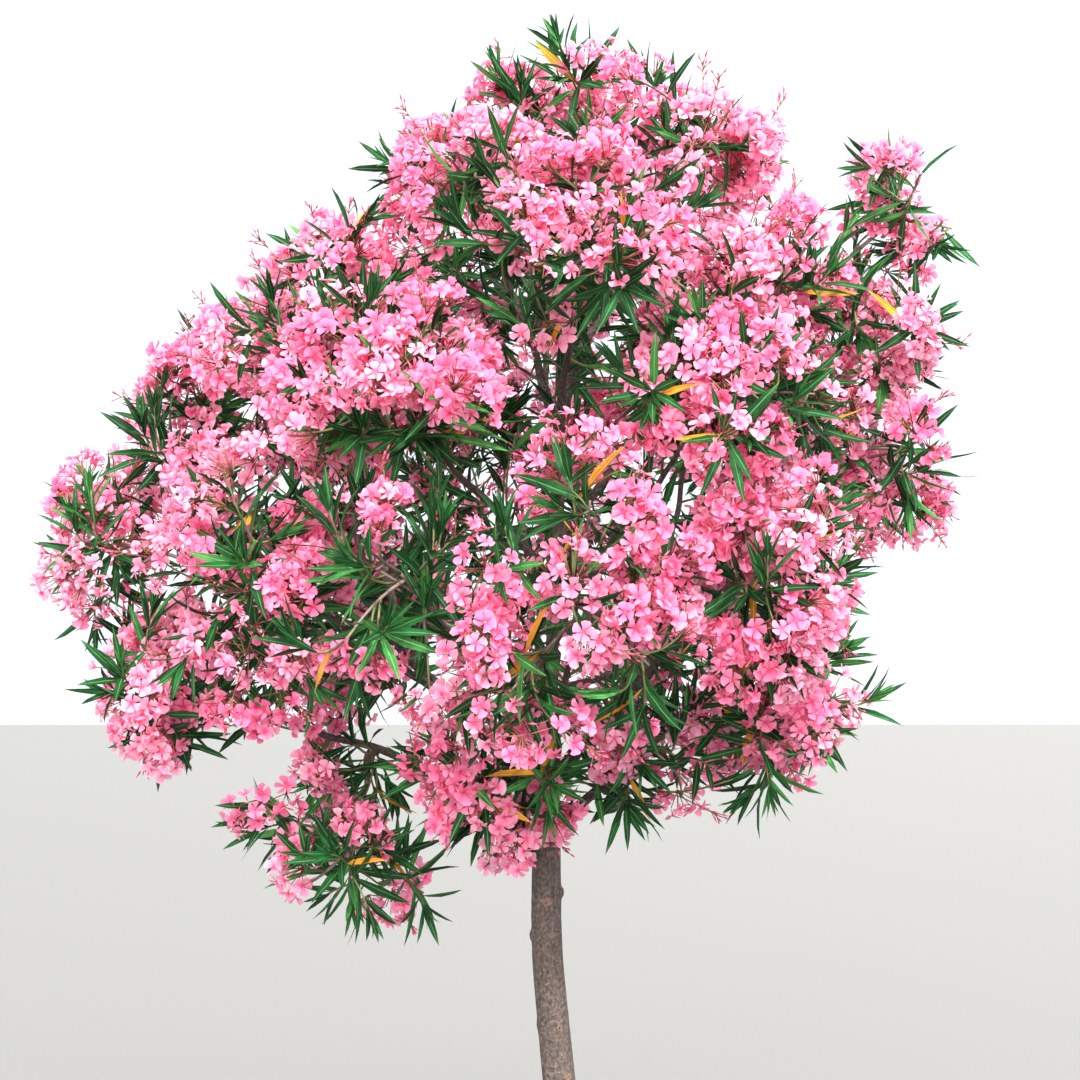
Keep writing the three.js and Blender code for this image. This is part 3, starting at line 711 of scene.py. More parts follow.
def branches_of(index, bough, outward):
    """The wood of a mass: a leader from its bough's tip to its hub, and branches that leave the leader
    one after another towards aims over the outer side. Returns the leader, the branches, and the aims'
    directions."""
    middle, reach = middles[index], reaches[index]
    ahead = heading(bough, 0.995)
    hub = middle - outward * HUB_INWARD * reach
    root = bough[-1] - ahead * LEADER_OVERLAP
    leader = bezier((root, blend(root, hub, 0.5) + ahead * LEADER_ARCH, hub), TWIG_POINTS)
    count = round(reach * 1000 / BRANCH_EVERY) + 2
    order = np.arange(count)
    aims = aims_of(index, outward, (order + 0.2) / count, order)
    lines = unit(aims)
    free = np.minimum(np.linalg.norm(aims, axis=1), free_length(index, lines, BRANCH_ROOM))
    start = at(leader, 1 - BRANCH_FORKING * order / count)
    end = middle + lines * BRANCH_REACH * free[:, None]
    span = np.linalg.norm(end - start, axis=1, keepdims=True)
    bend = blend(start + ahead * BRANCH_PULL * span, end, BRANCH_BEND) - np.array((0, 0, BRANCH_SAG)) * span
    return leader, bezier((start, bend, end), TWIG_POINTS), lines


def shoots_of(index, name, branches, branch_lines, outward, random):
    """The shoots of a mass, each on the branch that points most nearly the same way. A tip lies along its
    aim, which runs on to the mass's own face where that is near, less the room that its head or tuft
    takes."""
    middle, reach = middles[index], reaches[index]
    outer = round(reach / SHOOT_EVERY * MORE_SHOOTS.get(name, 1))
    inner = INNER_SHOOTS["back" if name.startswith("back") else "front"]
    number = outer + inner
    order, inner_order = np.arange(outer), np.arange(inner)
    rings = blend(*INNER_RINGS, (inner_order + 0.5) / inner)
    spread = aims_of(index, outward, (order + 0.5) / outer, order + 0.37)
    inward = INNER_REACH * aims_of(index, outward, rings, inner_order + 0.71, INNER_ANGLE)
    spread = np.concatenate([spread, inward])
    flowers = (order * FLOWER_STEP + FLOWER_START) % 1 < blooms[index]
    flowers = np.concatenate([flowers, (inner_order * FLOWER_STEP) % 1 < INNER_BLOOM * blooms[index]])
    lines = unit(spread + SHOOT_SCATTER * reach * random.normal(size=(number, 3)))
    aimed = np.linalg.norm(spread, axis=1)
    free = free_length(index, lines, SHOOT_ROOM)
    wanted = np.where(free < FURTHER[name] * aimed, np.maximum(free, aimed), aimed)
    wanted = wanted * random.uniform(*SHOOT_LENGTHS, number)
    head = random.uniform(*HEAD_RADIUS, number)
    tuft_room = CREST_TUFT_ROOM if name == "crest" else TUFT_ROOM
    far = np.minimum(wanted, free) - np.where(flowers, HEADROOM * head, tuft_room)
    owner = np.argmax(lines @ branch_lines.T, axis=1)
    shares = random.uniform(*SHOOT_STARTS, number)
    start = np.array([at(branches[k], share) for k, share in zip(owner, shares)])
    tip = middle + lines * far[:, None]
    tip[:, 2] = np.maximum(tip[:, 2], LOWEST_TIP.get(name, 0) + np.where(flowers, 0, LEAFY_HIGHER))
    span = np.linalg.norm(tip - start, axis=1, keepdims=True)
    away = np.array([heading(branches[k], 0.7) for k in owner])
    sag = (HANGING.get(name, SAG) + (0 if name in HANGING else LEAFY_SAG) * ~flowers[:, None]) * span
    bend = blend(start + away * SHOOT_PULL * span, tip, SHOOT_BEND) - np.array((0, 0, 1.0)) * sag
    keep = (far > LEAST_OUT * reach) & (span[:, 0] > SHORTEST_SHOOT)
    leafy = np.where(flowers, FLOWERING_LEAFY, 1.0)
    values = (start, bend, tip, flowers, head, np.broadcast_to(outward, (number, 3)), leafy)
    return [value[keep] for value in values]


def spurs_of(name, bough, outward, random):
    """The spurs of a bough. Each tip lies one length away in a direction scattered round the one that the
    settings give, and each bend half a length away in a direction scattered round the tip's."""
    spurs = SPURS_OF.get(name, SPURS)
    count = spurs["count"]
    start = at(bough, random.uniform(*spurs["shares"], count))
    length = random.uniform(*spurs["lengths"], count)[:, None]
    line = unit(bough[-1] - bough[0]) * spurs["along"] + np.array(spurs["lean"])
    line = unit(line + spurs["scatter"] * random.normal(size=(count, 3)))
    bend = start + unit(line + SPUR_BOW * random.normal(size=(count, 3))) * 0.5 * length
    flowers = spurs["flower"] & (np.arange(count) % 2 > 0)
    head, leafy = np.full(count, spurs["head"]), np.full(count, spurs["leafy"])
    return [start, bend, start + line * length, flowers, head, np.broadcast_to(outward, (count, 3)), leafy]


twig_paths, twig_radii, shoot_rows = [], [], []
for index, name in enumerate(names):
    random = np.random.default_rng(101 + index)
    outward = unit(middles[index] - CROWN_HEART)
    leader, branches, lines = branches_of(index, limbs[name], outward)
    twig_paths += [leader, *branches]
    ends = [LEADER_RADII] + [BRANCH_RADII] * len(branches)
    twig_radii += [np.linspace(*radii, TWIG_POINTS) for radii in ends]
    shoot_rows.append(shoots_of(index, name, branches, lines, outward, random))
    shoot_rows.append(spurs_of(name, limbs[name], outward, random))
shoots = {key: np.concatenate(values) for key, values in zip(SHOOT_KEYS, zip(*shoot_rows))}

# Companions: beside some of the heads a leafy shoot of this year leaves the flowering one past its bend
# and grows on past the flowers. They are of the same green wood.
COMPANIONS = 0.16
COMPANION_START = 0.55
COMPANION_AHEAD = 0.45
COMPANION_ASIDE = 0.8
COMPANION_BOW = 0.02

random = np.random.default_rng(3)
beside = np.flatnonzero(shoots["flowers"] & (random.random(len(shoots["tip"])) < COMPANIONS))
carrier = {key: value[beside] for key, value in shoots.items()}
ahead = unit(carrier["tip"] - carrier["bend"])
sideways = unit(np.cross(ahead, random.normal(size=ahead.shape)))
start = blend(carrier["bend"], carrier["tip"], COMPANION_START)
tip = carrier["tip"] + (ahead * COMPANION_AHEAD + sideways * COMPANION_ASIDE) * carrier["head"][:, None]
bend = blend(start, tip, 0.5) + sideways * COMPANION_BOW
added = (start, bend, tip, np.zeros(len(beside), dtype=bool))
added += (carrier["head"], carrier["outward"], np.ones(len(beside)))
shoots = {key: np.concatenate([shoots[key], value]) for key, value in zip(SHOOT_KEYS, added)}
total = len(shoots["tip"])


def object_place(tree):
    """The place on the object, through a Mapping node."""
    return mapped(tree, node(tree, "ShaderNodeTexCoord").outputs["Object"])


def twig_material(name, old, young):
    """Young wood: smooth, mottled at the size of a fingernail, with fine ridges."""
    material, tree, shader = new_material(name, Roughness=0.7)
    place = object_place(tree)
    colour = ramp(tree, noise(tree, place, 0.05), (0.35, old), (0.65, young))
    colour = mixed(tree, ranged(tree, noise(tree, place, 0.004), 0.4, 0.7, 0.0, 0.4), colour, old)
    surfaced(tree, shader, colour, (noise(tree, place, 0.003), 0.0006))
    return material


grey_wood = twig_material("grey_wood", "4e3f38", "84776c")
rings = tube_corners(np.array(twig_paths), np.array(twig_radii), TWIG_SIDES)
faces = tube_faces(len(twig_paths), TWIG_POINTS, TWIG_SIDES)
new_piece("branches", rings, faces, grey_wood, MASS_NODES)

green_wood = twig_material("green_wood", "4d4a2c", "6f7a45")
shoot_paths = bezier((shoots["start"], shoots["bend"], shoots["tip"]), SHOOT_POINTS)
radii = np.broadcast_to(np.linspace(*SHOOT_RADII, SHOOT_POINTS), (total, SHOOT_POINTS))
rings = tube_corners(shoot_paths, radii, SHOOT_SIDES)
new_piece("shoots", rings, tube_faces(total, SHOOT_POINTS, SHOOT_SIDES), green_wood, MASS_NODES)

# The leaves: narrow, leathery and pointed, in whorls of three that turn by half a step from one to the
# next. They are short and upright at a shoot's tip and longer, flatter and more arched lower down. Each
# is twelve triangles. Lengths, leans in radians and the share that is left go from the youngest whorl to
# the oldest.
WHORLS = 7
LEAVES = 3
LEAF_LENGTHS = (0.055, 0.08, 0.102, 0.116, 0.121, 0.118, 0.11)
LEAF_LEANS = (0.16, 0.34, 0.55, 0.72, 0.87, 1.0, 1.14)
LEAF_KEPT = (1.0, 1.0, 0.96, 0.84, 0.66, 0.45, 0.25)
LEAF_HALF_WIDTH = 0.077
LEAF_ROWS = (0.0, 0.16, 0.44, 0.76, 1.0)
LEAF_WIDTHS = (0.0, 0.62, 1.0, 0.66, 0.0)
LEAF_FOLDS = (0.12, 0.5)
LEAF_TWIST = 0.35
LEAF_OFF_AXIS = 0.0012
SIZE_SPREAD = (0.86, 1.12)
SWING_SCATTER = 0.12
LEAN_SCATTER = 0.13
# A midrib's whole turn is at least the first angle, and up to the second more in the oldest whorls.
LEAST_ARCH = 0.12
MORE_ARCH = 0.55
# Under a flower head the two youngest whorls are missing, and the next one starts lower and leans out
# more.
BELOW_HEAD = 2
BACK_FROM_HEAD = 0.05
BACK_FROM_TIP = 0.004
HEAD_LEAN = 0.24
WHORL_GAP = 0.008
WHORL_GAP_GROWTH = 0.0032
GAP_SPREAD = (0.85, 1.25)
LOWEST_SHARE = 0.03
YELLOW_SHARE = 0.06
YELLOW_AGE = 4
DEEP_BELOW = 0.42
FRESH_FROM = 0.74


def quadratic(start, bend, tip, share):
    """A point on a quadratic Bezier curve at a share, and the curve's direction there."""
    share = share[..., None]
    place = blend(blend(start, bend, share), blend(bend, tip, share), share)
    return place, unit(blend(bend - start, tip - bend, share))


def leaves_on(shoots, paths, random):
    """Roots, directions, upper sides, lengths and turns of all leaves, their tone from 0 to 1, and which
    have turned yellow. A whorl's way back from the tip grows with its age and the age's square; a leaf
    leans out from the shoot by its whorl's angle."""
    total = len(paths)
    each = (total, WHORLS, LEAVES)
    whorl = np.arange(WHORLS)
    lengths = np.linalg.norm(np.diff(paths, axis=1), axis=2).sum(axis=1)
    first = np.where(shoots["flowers"], BELOW_HEAD, 0)[:, None]
    age = first + whorl
    back = WHORL_GAP * (age - first) + WHORL_GAP_GROWTH * (age**2 - first**2)
    back = back * random.uniform(*GAP_SPREAD, total)[:, None]
    share = 1 - (back + np.where(first > 0, BACK_FROM_HEAD, BACK_FROM_TIP)) / lengths[:, None]
    chance = np.array(LEAF_KEPT) * shoots["leafy"][:, None]
    kept = (share > LOWEST_SHARE)[..., None] & (random.random(each) < chance[..., None])
    curves = [np.broadcast_to(shoots[key][:, None], (total, WHORLS, 3)) for key in SHOOT_KEYS[:3]]
    place, axis = quadratic(*curves, share)
    guide = unit(np.cross(axis, unit(random.normal(size=(total, 1, 3)))))
    swing = random.uniform(0, 2 * np.pi, total)[:, None, None] + (whorl * np.pi / LEAVES)[:, None]
    swing = swing + np.arange(LEAVES) * 2 * np.pi / LEAVES
    swing = swing + random.normal(size=each) * SWING_SCATTER
    axis = np.broadcast_to(axis[:, :, None], (*each, 3))
    out = turned(np.broadcast_to(guide[:, :, None], axis.shape), axis, swing)
    lean = (np.interp(age, whorl, LEAF_LEANS) + np.where(first > 0, HEAD_LEAN, 0))[..., None]
    lean = lean + random.normal(size=each) * LEAN_SCATTER
    ahead = unit(axis * np.cos(lean)[..., None] + out * np.sin(lean)[..., None])
    above = unit(axis - ahead * (axis * ahead).sum(axis=-1, keepdims=True))
    size = np.interp(age, whorl, LEAF_LENGTHS)[..., None] * random.uniform(*SIZE_SPREAD, each)
    root = np.broadcast_to(place[:, :, None], axis.shape) + out * LEAF_OFF_AXIS
    turn = LEAST_ARCH + MORE_ARCH * random.random(each) * (0.4 + 0.6 * age[..., None] / WHORLS)
    leaves = [values[kept] for values in (root, ahead, above, size, turn)]
    age = np.broadcast_to(age[..., None], each)[kept]
    spray = np.broadcast_to((random.random(total) * 0.5)[:, None, None], each)[kept]
    tone = spray + 0.5 * random.random(len(age)) + np.where(age < 1, 0.25, 0) - 0.05 * (age > 3)
    yellow = (random.random(len(age)) < YELLOW_SHARE) & (age >= YELLOW_AGE)
    return leaves, tone, yellow


def leaf_parts(root, ahead, above, length, turn, random):
    """Leaves as corners, faces and pattern coordinates. A midrib is a circular arc that turns downward by
    an angle; a row's two edges stand off it sideways by the width there, raised by the fold."""
    number = len(root)
    rows = np.array(LEAF_ROWS)
    fold = random.uniform(*LEAF_FOLDS, number)[:, None, None]
    twist = ((random.normal(size=number) * LEAF_TWIST)[:, None] * rows)[..., None]
    angle = turn[:, None] * rows
    run = (np.sin(angle) / turn[:, None])[..., None]
    drop = ((1 - np.cos(angle)) / turn[:, None])[..., None]
    rib = root[:, None] + length[:, None, None] * (ahead[:, None] * run - above[:, None] * drop)
    right = np.cross(ahead, above)[:, None]
    raised = above[:, None] * np.cos(angle)[..., None] + ahead[:, None] * np.sin(angle)[..., None]
    aside = right * np.cos(twist) + raised * np.sin(twist)
    wide = (length[:, None] * LEAF_HALF_WIDTH * np.array(LEAF_WIDTHS))[..., None]
    left_edge = rib + wide * (raised * np.sin(fold) - aside * np.cos(fold))
    right_edge = rib + wide * (raised * np.sin(fold) + aside * np.cos(fold))
    body = np.stack([left_edge, rib, right_edge], axis=2)[:, 1:4].reshape(number, 9, 3)
    corners = np.concatenate([rib[:, :1], body, rib[:, 4:]], axis=1)
    faces = [(0, 2, 1), (0, 3, 2)]
    for low in (1, 4):
        for side in (low, low + 1):
            faces += [(side, side + 1, side + 4), (side, side + 4, side + 3)]
    faces += [(7, 8, 10), (8, 9, 10)]
    faces = np.array(faces) + (np.arange(number) * corners.shape[1])[:, None, None]
    across = np.array([0.5] + [0, 0.5, 1] * 3 + [0.5])
    along = np.array([0] + [row for row in LEAF_ROWS[1:4] for _ in range(3)] + [1])
    uv = np.broadcast_to(np.stack([across, along], axis=1), (*corners.shape[:2], 2))
    return corners.reshape(-1, 3), [faces.reshape(-1, 3)], uv.reshape(-1, 2)


def lit_through(tree, shader, colour, share):
    """Lets a thin surface show that share of the light that falls on its other side, in its own colour."""
    behind = node(tree, "ShaderNodeBsdfTranslucent", {"Color": colour}).outputs["BSDF"]
    inputs = {0: share, 1: shader.outputs["BSDF"], 2: behind}
    both = node(tree, "ShaderNodeMixShader", inputs).outputs["Shader"]
    tree.links.new(both, tree.nodes["Material Output"].inputs["Surface"])


def pattern_place(tree):
    """The pattern coordinates across and along a leaf or petal."""
    spot = node(tree, "ShaderNodeUVMap", uv_map="UVMap").outputs[0]
    split = node(tree, "ShaderNodeSeparateXYZ", {"Vector": spot})
    return split.outputs["X"], split.outputs["Y"]


def leaf_material(name, dark, middle, light, rib, gloss):
    """A leathery leaf: colour that drifts from leaf to leaf, a pale midrib, fine slanted side veins, and
    a waxy gloss."""
    material, tree, shader = new_material(name, Roughness=gloss, Specular_IOR_Level=0.18)
    place = object_place(tree)
    across, along = pattern_place(tree)
    aside = maths(tree, "ABSOLUTE", maths(tree, "SUBTRACT", across, 0.5))
    slanted = maths(tree, "MULTIPLY_ADD", aside, -0.35, along)
    veins = maths(tree, "SINE", maths(tree, "MULTIPLY", slanted, 230.0))
    colour = ramp(tree, noise(tree, place, 0.06, 2.0), (0.34, dark), (0.5, middle), (0.68, light))
    colour = mixed(tree, ranged(tree, noise(tree, place, 0.008), 0.5, 0.75, 0.0, 0.35), colour, light)
    colour = mixed(tree, ranged(tree, veins, 0.2, 1.0, 0.0, 0.16), colour, rib)
    colour = mixed(tree, ranged(tree, aside, 0.03, 0.09, 0.75, 0.0), colour, rib)
    surfaced(tree, shader, colour, (ranged(tree, aside, 0.0, 0.12, 1.0, 0.0), 0.0012), (veins, 0.00015))
    lit_through(tree, shader, colour, 0.2)
    return material


random = np.random.default_rng(7)
leaves, tone, yellow = leaves_on(shoots, shoot_paths, random)
deep, fresh = tone < DEEP_BELOW, tone >= FRESH_FROM
LEAF_TONES = [
    ("leaves_deep", ~yellow & deep, ("041c08", "082e10", "12431c", "4f8a52", 0.42)),
    ("leaves_green", ~yellow & ~deep & ~fresh, ("093213", "0f471e", "1e612d", "69a566", 0.4)),
    ("leaves_fresh", ~yellow & fresh, ("1a5a24", "2c7a34", "4a9448", "8fbf7a", 0.38)),
    ("leaves_turning", yellow, ("a86a12", "d8901c", "e8ae3a", "efc978", 0.5)),
]
for name, chosen, colours in LEAF_TONES:
    corners, faces, uv = leaf_parts(*(values[chosen] for values in leaves), random)
    new_piece(name, corners, faces, leaf_material(name, *colours), MASS_NODES, uv=uv)

# The flowers: loose domed heads, each of a middle cyme and two side ones. A flower is a short tube that
# opens into five soft blunt petals, set like the blades of a pinwheel round a warm throat. First comes
# the petals' shape.
PETALS = 5
PETAL_TURNS = np.arange(PETALS) * 2 * np.pi / PETALS
# Corners of one petal as radius, sideways place and rise, in petal lengths; it lies along its own middle
# line.
PETAL = [
    (0.13, -0.085, 0.0),
    (0.13, 0.085, 0.0),
    (0.5, -0.3, 0.0),
    (0.53, -0.02, 0.1),
    (0.5, 0.27, 0.06),
    (0.84, -0.49, 0.0),
    (1.02, -0.28, 0.1),
    (0.96, 0.17, 0.2),
    (0.77, 0.43, 0.14),
]
PETAL_FACES = [
    (0, 3, 2),
    (0, 1, 3),
    (1, 4, 3),
    (2, 3, 5),
    (3, 6, 5),
    (3, 7, 6),
    (3, 4, 7),
    (4, 8, 7),
]
PETAL_WIDTH = 1.06
PETAL_LENGTHS = (0.86, 1.06)
PETAL_SCATTER = 0.06
# Twist: what all petals have, and how far it varies. The bow is as often inward as outward.
TWIST = 0.18
TWIST_SCATTER = 0.2
BOW_SCATTER = 0.14


def square_pair(facing, turns):
    """Two directions square to where each flower faces, the first turned by its own angle."""
    first = turned(square(facing), facing, turns)
    return first, np.cross(facing, first)


def petal_parts(face, facing, size, turns, cup, random):
    """Petals as corners, faces and pattern coordinates: each is the one outline times its own length,
    turned round its flower's face by fifths of a circle. Its rise is the flower's cup times the
    outline's, plus a twist times the sideways place, plus a bow times the radius squared."""
    right, up = square_pair(facing, turns)
    outline = np.array(PETAL)
    each = (len(face), PETALS, 1)
    length = random.uniform(*PETAL_LENGTHS, each)
    spin = PETAL_TURNS[:, None] + random.normal(size=each) * PETAL_SCATTER
    along = length * (outline[:, 0] * np.cos(spin) - outline[:, 1] * np.sin(spin))
    aside = length * (outline[:, 0] * np.sin(spin) + outline[:, 1] * np.cos(spin))
    flat = right[:, None, None] * along[..., None] + up[:, None, None] * aside[..., None]
    twist = TWIST + TWIST_SCATTER * random.normal(size=each)
    bow = BOW_SCATTER * random.normal(size=each)
    rise = cup[:, None, None] * outline[:, 2] + twist * outline[:, 1] + bow * outline[:, 0] ** 2
    lifted = flat + facing[:, None, None] * rise[..., None]
    corners = face[:, None, None] + size[:, None, None, None] * lifted
    faces = np.array(PETAL_FACES) + (np.arange(len(face) * PETALS) * len(outline))[:, None, None]
    uv = np.stack([0.5 + outline[:, 1] / PETAL_WIDTH, outline[:, 0]], axis=1)
    uv = np.broadcast_to(uv, (len(face) * PETALS, *uv.shape))
    return corners.reshape(-1, 3), [faces.reshape(-1, 3)], uv.reshape(-1, 2)


def petal_material(name, throat, middle, edge, blush):
    """A petal: deep at its foot and paler outward, faintly veined along its length and softly blotched."""
    material, tree, shader = new_material(name, Roughness=0.62, Sheen_Weight=0.15, Sheen_Roughness=0.5)
    place = object_place(tree)
    across, along = pattern_place(tree)
    veins = maths(tree, "SINE", maths(tree, "MULTIPLY", across, 42.0))
    colour = ramp(tree, along, (0.18, throat), (0.45, middle), (0.96, edge))
    colour = mixed(tree, ranged(tree, noise(tree, place, 0.03, 3.0), 0.42, 0.7, 0.0, 0.5), colour, blush)
    colour = mixed(tree, ranged(tree, veins, 0.3, 1.0, 0.0, 0.2), colour, throat)
    surfaced(tree, shader, colour, (veins, 0.0002), (noise(tree, place, 0.006), 0.0008))
    lit_through(tree, shader, colour, 0.5)
    return material


# The flowers' places. Each head's axis runs on from its shoot and leans outward, and its cymes stand
# round it. A cyme: its turn round the axis, how far it stands out and back and how wide it is, all three
# in head radii, and its fewest and most flowers, which each head then has more or fewer of by its
# fullness.
CYMES = [(0, 0.0, 0.0, 0.8, 9, 13), (1.0, 0.8, 0.25, 0.55, 5, 8), (3.3, 0.75, 0.4, 0.55, 5, 7)]
FULLNESS = (0.45, 0.8, 1.0, 1.1, 1.2)
AXIS_OUTWARD = 0.5
AXIS_SCATTER = 0.25
CYME_SCATTER = 0.5
CYME_LEAN = 0.9
# A cyme's flowers spread over its dome between two heights, at their own depths in it, and face outward,
# a little from the crown's heart and towards the light.
DOME_HEIGHTS = (0.97, -0.12)
DOME_TURN_SCATTER = 0.25
DOME_SCATTER = 0.16
DOME_DEPTHS = (0.7, 1.02)
FACE_SUNK = 0.1
FACING_OUTWARD = 0.35
FACING_SCATTER = 0.42
FACING_LIGHT = (0, -0.1, 0.12)
FLOWER_RADIUS = (0.0158, 0.0215)
TUBE_LENGTH = 0.017
CUPS = (0.2, 2.2)
HALF_OPEN_CUP = 2.0
HALF_OPEN_SHARE = 0.12
HEAD_SHADE = 0.6
PALE_ABOVE = 0.6
ROSE_UP_TO = 0.34

random = np.random.default_rng(11)
heads = np.flatnonzero(shoots["flowers"])
head_tip, head_radius, head_outward = (shoots[key][heads] for key in ("tip", "head", "outward"))
_, axis = quadratic(*(shoots[key][heads] for key in SHOOT_KEYS[:3]), np.ones(len(heads)))
axis = unit(axis + AXIS_OUTWARD * head_outward + AXIS_SCATTER * random.normal(size=(len(heads), 3)))
side = unit(np.cross(axis, random.normal(size=axis.shape)))
fullness = random.choice(FULLNESS, len(heads))
cyme_rows = []
for turn, out, back, wide, fewest, most in CYMES:
    sideways = turned(side, axis, turn + random.normal(size=len(heads)) * CYME_SCATTER)
    centre = head_tip + (sideways * out - axis * back) * head_radius[:, None]
    number = np.round(random.uniform(fewest, most, len(heads)) * fullness).astype(int)
    cyme_rows.append((unit(axis + CYME_LEAN * out * sideways), centre, head_radius * wide, number))
cyme_axis, cyme_centre, cyme_radius, numbers = (np.concatenate(values) for values in zip(*cyme_rows))
cyme_head = np.tile(np.arange(len(heads)), len(CYMES))

owner = np.repeat(np.arange(len(numbers)), numbers)
order = np.arange(len(owner)) - np.repeat(np.cumsum(numbers) - numbers, numbers)
height = blend(*DOME_HEIGHTS, (order + 0.5) / numbers[owner])[:, None]
first = unit(np.cross(cyme_axis, unit(random.normal(size=cyme_axis.shape))))
angle = order * GOLDEN_ANGLE + random.normal(size=len(order)) * DOME_TURN_SCATTER
sideways = turned(first[owner], cyme_axis[owner], angle)
dome = cyme_axis[owner] * height + sideways * np.sqrt(1 - height**2)
dome = unit(dome + DOME_SCATTER * random.normal(size=dome.shape))
size = random.uniform(*FLOWER_RADIUS, len(order))
far = cyme_radius[owner] * random.uniform(*DOME_DEPTHS, len(order)) - FACE_SUNK * size
face = cyme_centre[owner] + dome * far[:, None]
facing = dome + FACING_OUTWARD * head_outward[cyme_head][owner]
facing = unit(facing + FACING_SCATTER * random.normal(size=dome.shape) + np.array(FACING_LIGHT))
neck = face - facing * TUBE_LENGTH
turns = random.uniform(0, 2 * np.pi, len(face))
cup = random.uniform(*CUPS, len(face)) + HALF_OPEN_CUP * (random.random(len(face)) < HALF_OPEN_SHARE)
shade = random.random(len(heads))[cyme_head][owner] * HEAD_SHADE
shade = shade + (1 - HEAD_SHADE) * random.random(len(face))
pale, rose = shade > PALE_ABOVE, shade <= ROSE_UP_TO
PETAL_TONES = [
    ("petals_pale", pale, ("f05c8b", "fda3c6", "ffc4da", "feb4cf")),
    ("petals_pink", ~pale & ~rose, ("ee4e84", "fc8db7", "feafcc", "fd9dc1")),
    ("petals_rose", rose, ("e84078", "fa77a9", "fd99bf", "fb85b0")),
]
for name, chosen, colours in PETAL_TONES:
    values = [values[chosen] for values in (face, facing, size, turns, cup)]
    corners, faces, uv = petal_parts(*values, random)
    new_piece(name, corners, faces, petal_material(name, *colours), MASS_NODES, uv=uv)

# Tubes and throats of the flowers: a five-sided funnel that opens from the stalk's end to the petals,
# closed by a cone that dips back into it. The mouth's radius is in flower radii, the rest in metres.
MOUTH_RADIUS = 0.17
MOUTH_LIFT = 0.0002
THROAT_DEPTH = 0.005


def flesh_material(name, gloss, size, deep, light, bump_size, bump_depth):
    """A soft part whose colour drifts between two tones over that size, with fine bumps."""
    material, tree, shader = new_material(name, Roughness=gloss)
    place = object_place(tree)
    colour = ramp(tree, noise(tree, place, size), (0.35, deep), (0.65, light))
    surfaced(tree, shader, colour, (noise(tree, place, bump_size), bump_depth))
    return material


right, up = square_pair(facing, turns)
spin = PETAL_TURNS[:, None]
spoke = right[:, None] * np.cos(spin) + up[:, None] * np.sin(spin)
mouth = face[:, None] + spoke * (MOUTH_RADIUS * size)[:, None, None] + facing[:, None] * MOUTH_LIFT
corners = np.concatenate([mouth, neck[:, None], (face - facing * THROAT_DEPTH)[:, None]], axis=1)
side = np.arange(PETALS)
beside = (side + 1) % PETALS
step = (np.arange(len(face)) * corners.shape[1])[:, None, None]
wall = (np.stack([side, np.full(PETALS, PETALS), beside], axis=1) + step).reshape(-1, 3)
cone = (np.stack([side, beside, np.full(PETALS, PETALS + 1)], axis=1) + step).reshape(-1, 3)
throat = flesh_material("throat", 0.6, 0.012, "d8416f", "ec6f72", 0.002, 0.0003)
new_piece("throats", corners, [wall, cone], throat, MASS_NODES)

# Buds and stalks. Long pointed buds, wrapped tight, stand among the flowers of each cyme, and in sprays
# that reach past them. All of them, and the flowers, grow on thin red-brown stalks.
BUDS = (1, 4)
BUD_AHEAD = 0.9
BUD_SCATTER = 0.75
BUD_LENGTH = (0.01, 0.019)
BUD_DEPTHS = (0.75, 1.15)
BUD_RADII = (0.0009, 0.0024, 0.0004)
BUD_WIDEST = 0.4
BUD_SIDES = 3
CYME_FOOT = 0.3
SPRAYS = 0.6
SPRAY_SCATTER = 0.35
SPRAY_RISE = (0, 0, 0.25)
SPRAY_FROM = 0.8
SPRAY_LENGTH = (0.014, 0.042)
SPRAY_BUDS = 7
SPRAY_BUD_SHARES = (0.6, 1.0)
SPRAY_BUD_SCATTER = 0.5
SPRAY_BUD_STALK = (0.008, 0.02)
SPRAY_BUD_LENGTH = (0.008, 0.016)
STALK_RADII = (0.0014, 0.001)
STALK_SIDES = 3

bud_numbers = random.integers(*BUDS, len(numbers))
bud_owner = np.repeat(np.arange(len(numbers)), bud_numbers)
bud_line = cyme_axis[bud_owner] * BUD_AHEAD + BUD_SCATTER * random.normal(size=(len(bud_owner), 3))
bud_line = unit(bud_line)
bud_length = random.uniform(*BUD_LENGTH, len(bud_owner))
bud_far = cyme_radius[bud_owner] * random.uniform(*BUD_DEPTHS, len(bud_owner)) - bud_length
bud_foot = cyme_centre[bud_owner] + bud_line * bud_far[:, None]
cyme_foot = cyme_centre - CYME_FOOT * cyme_radius[:, None] * cyme_axis

sprayed = np.flatnonzero(random.random(len(heads)) < SPRAYS)
spray_line = axis[sprayed] + SPRAY_SCATTER * random.normal(size=(len(sprayed), 3))
spray_line = unit(spray_line + np.array(SPRAY_RISE))
spray_start = head_tip[sprayed]
spray_reach = head_radius[sprayed] * SPRAY_FROM + random.uniform(*SPRAY_LENGTH, len(sprayed))
spray_end = spray_start + spray_line * spray_reach[:, None]
tuft = (len(sprayed), SPRAY_BUDS)
tuft_line = unit(spray_line[:, None] + SPRAY_BUD_SCATTER * random.normal(size=(*tuft, 3)))
tuft_share = random.uniform(*SPRAY_BUD_SHARES, tuft)[..., None]
tuft_start = spray_start[:, None] + (spray_end - spray_start)[:, None] * tuft_share
tuft_foot = (tuft_start + tuft_line * random.uniform(*SPRAY_BUD_STALK, tuft)[..., None]).reshape(-1, 3)

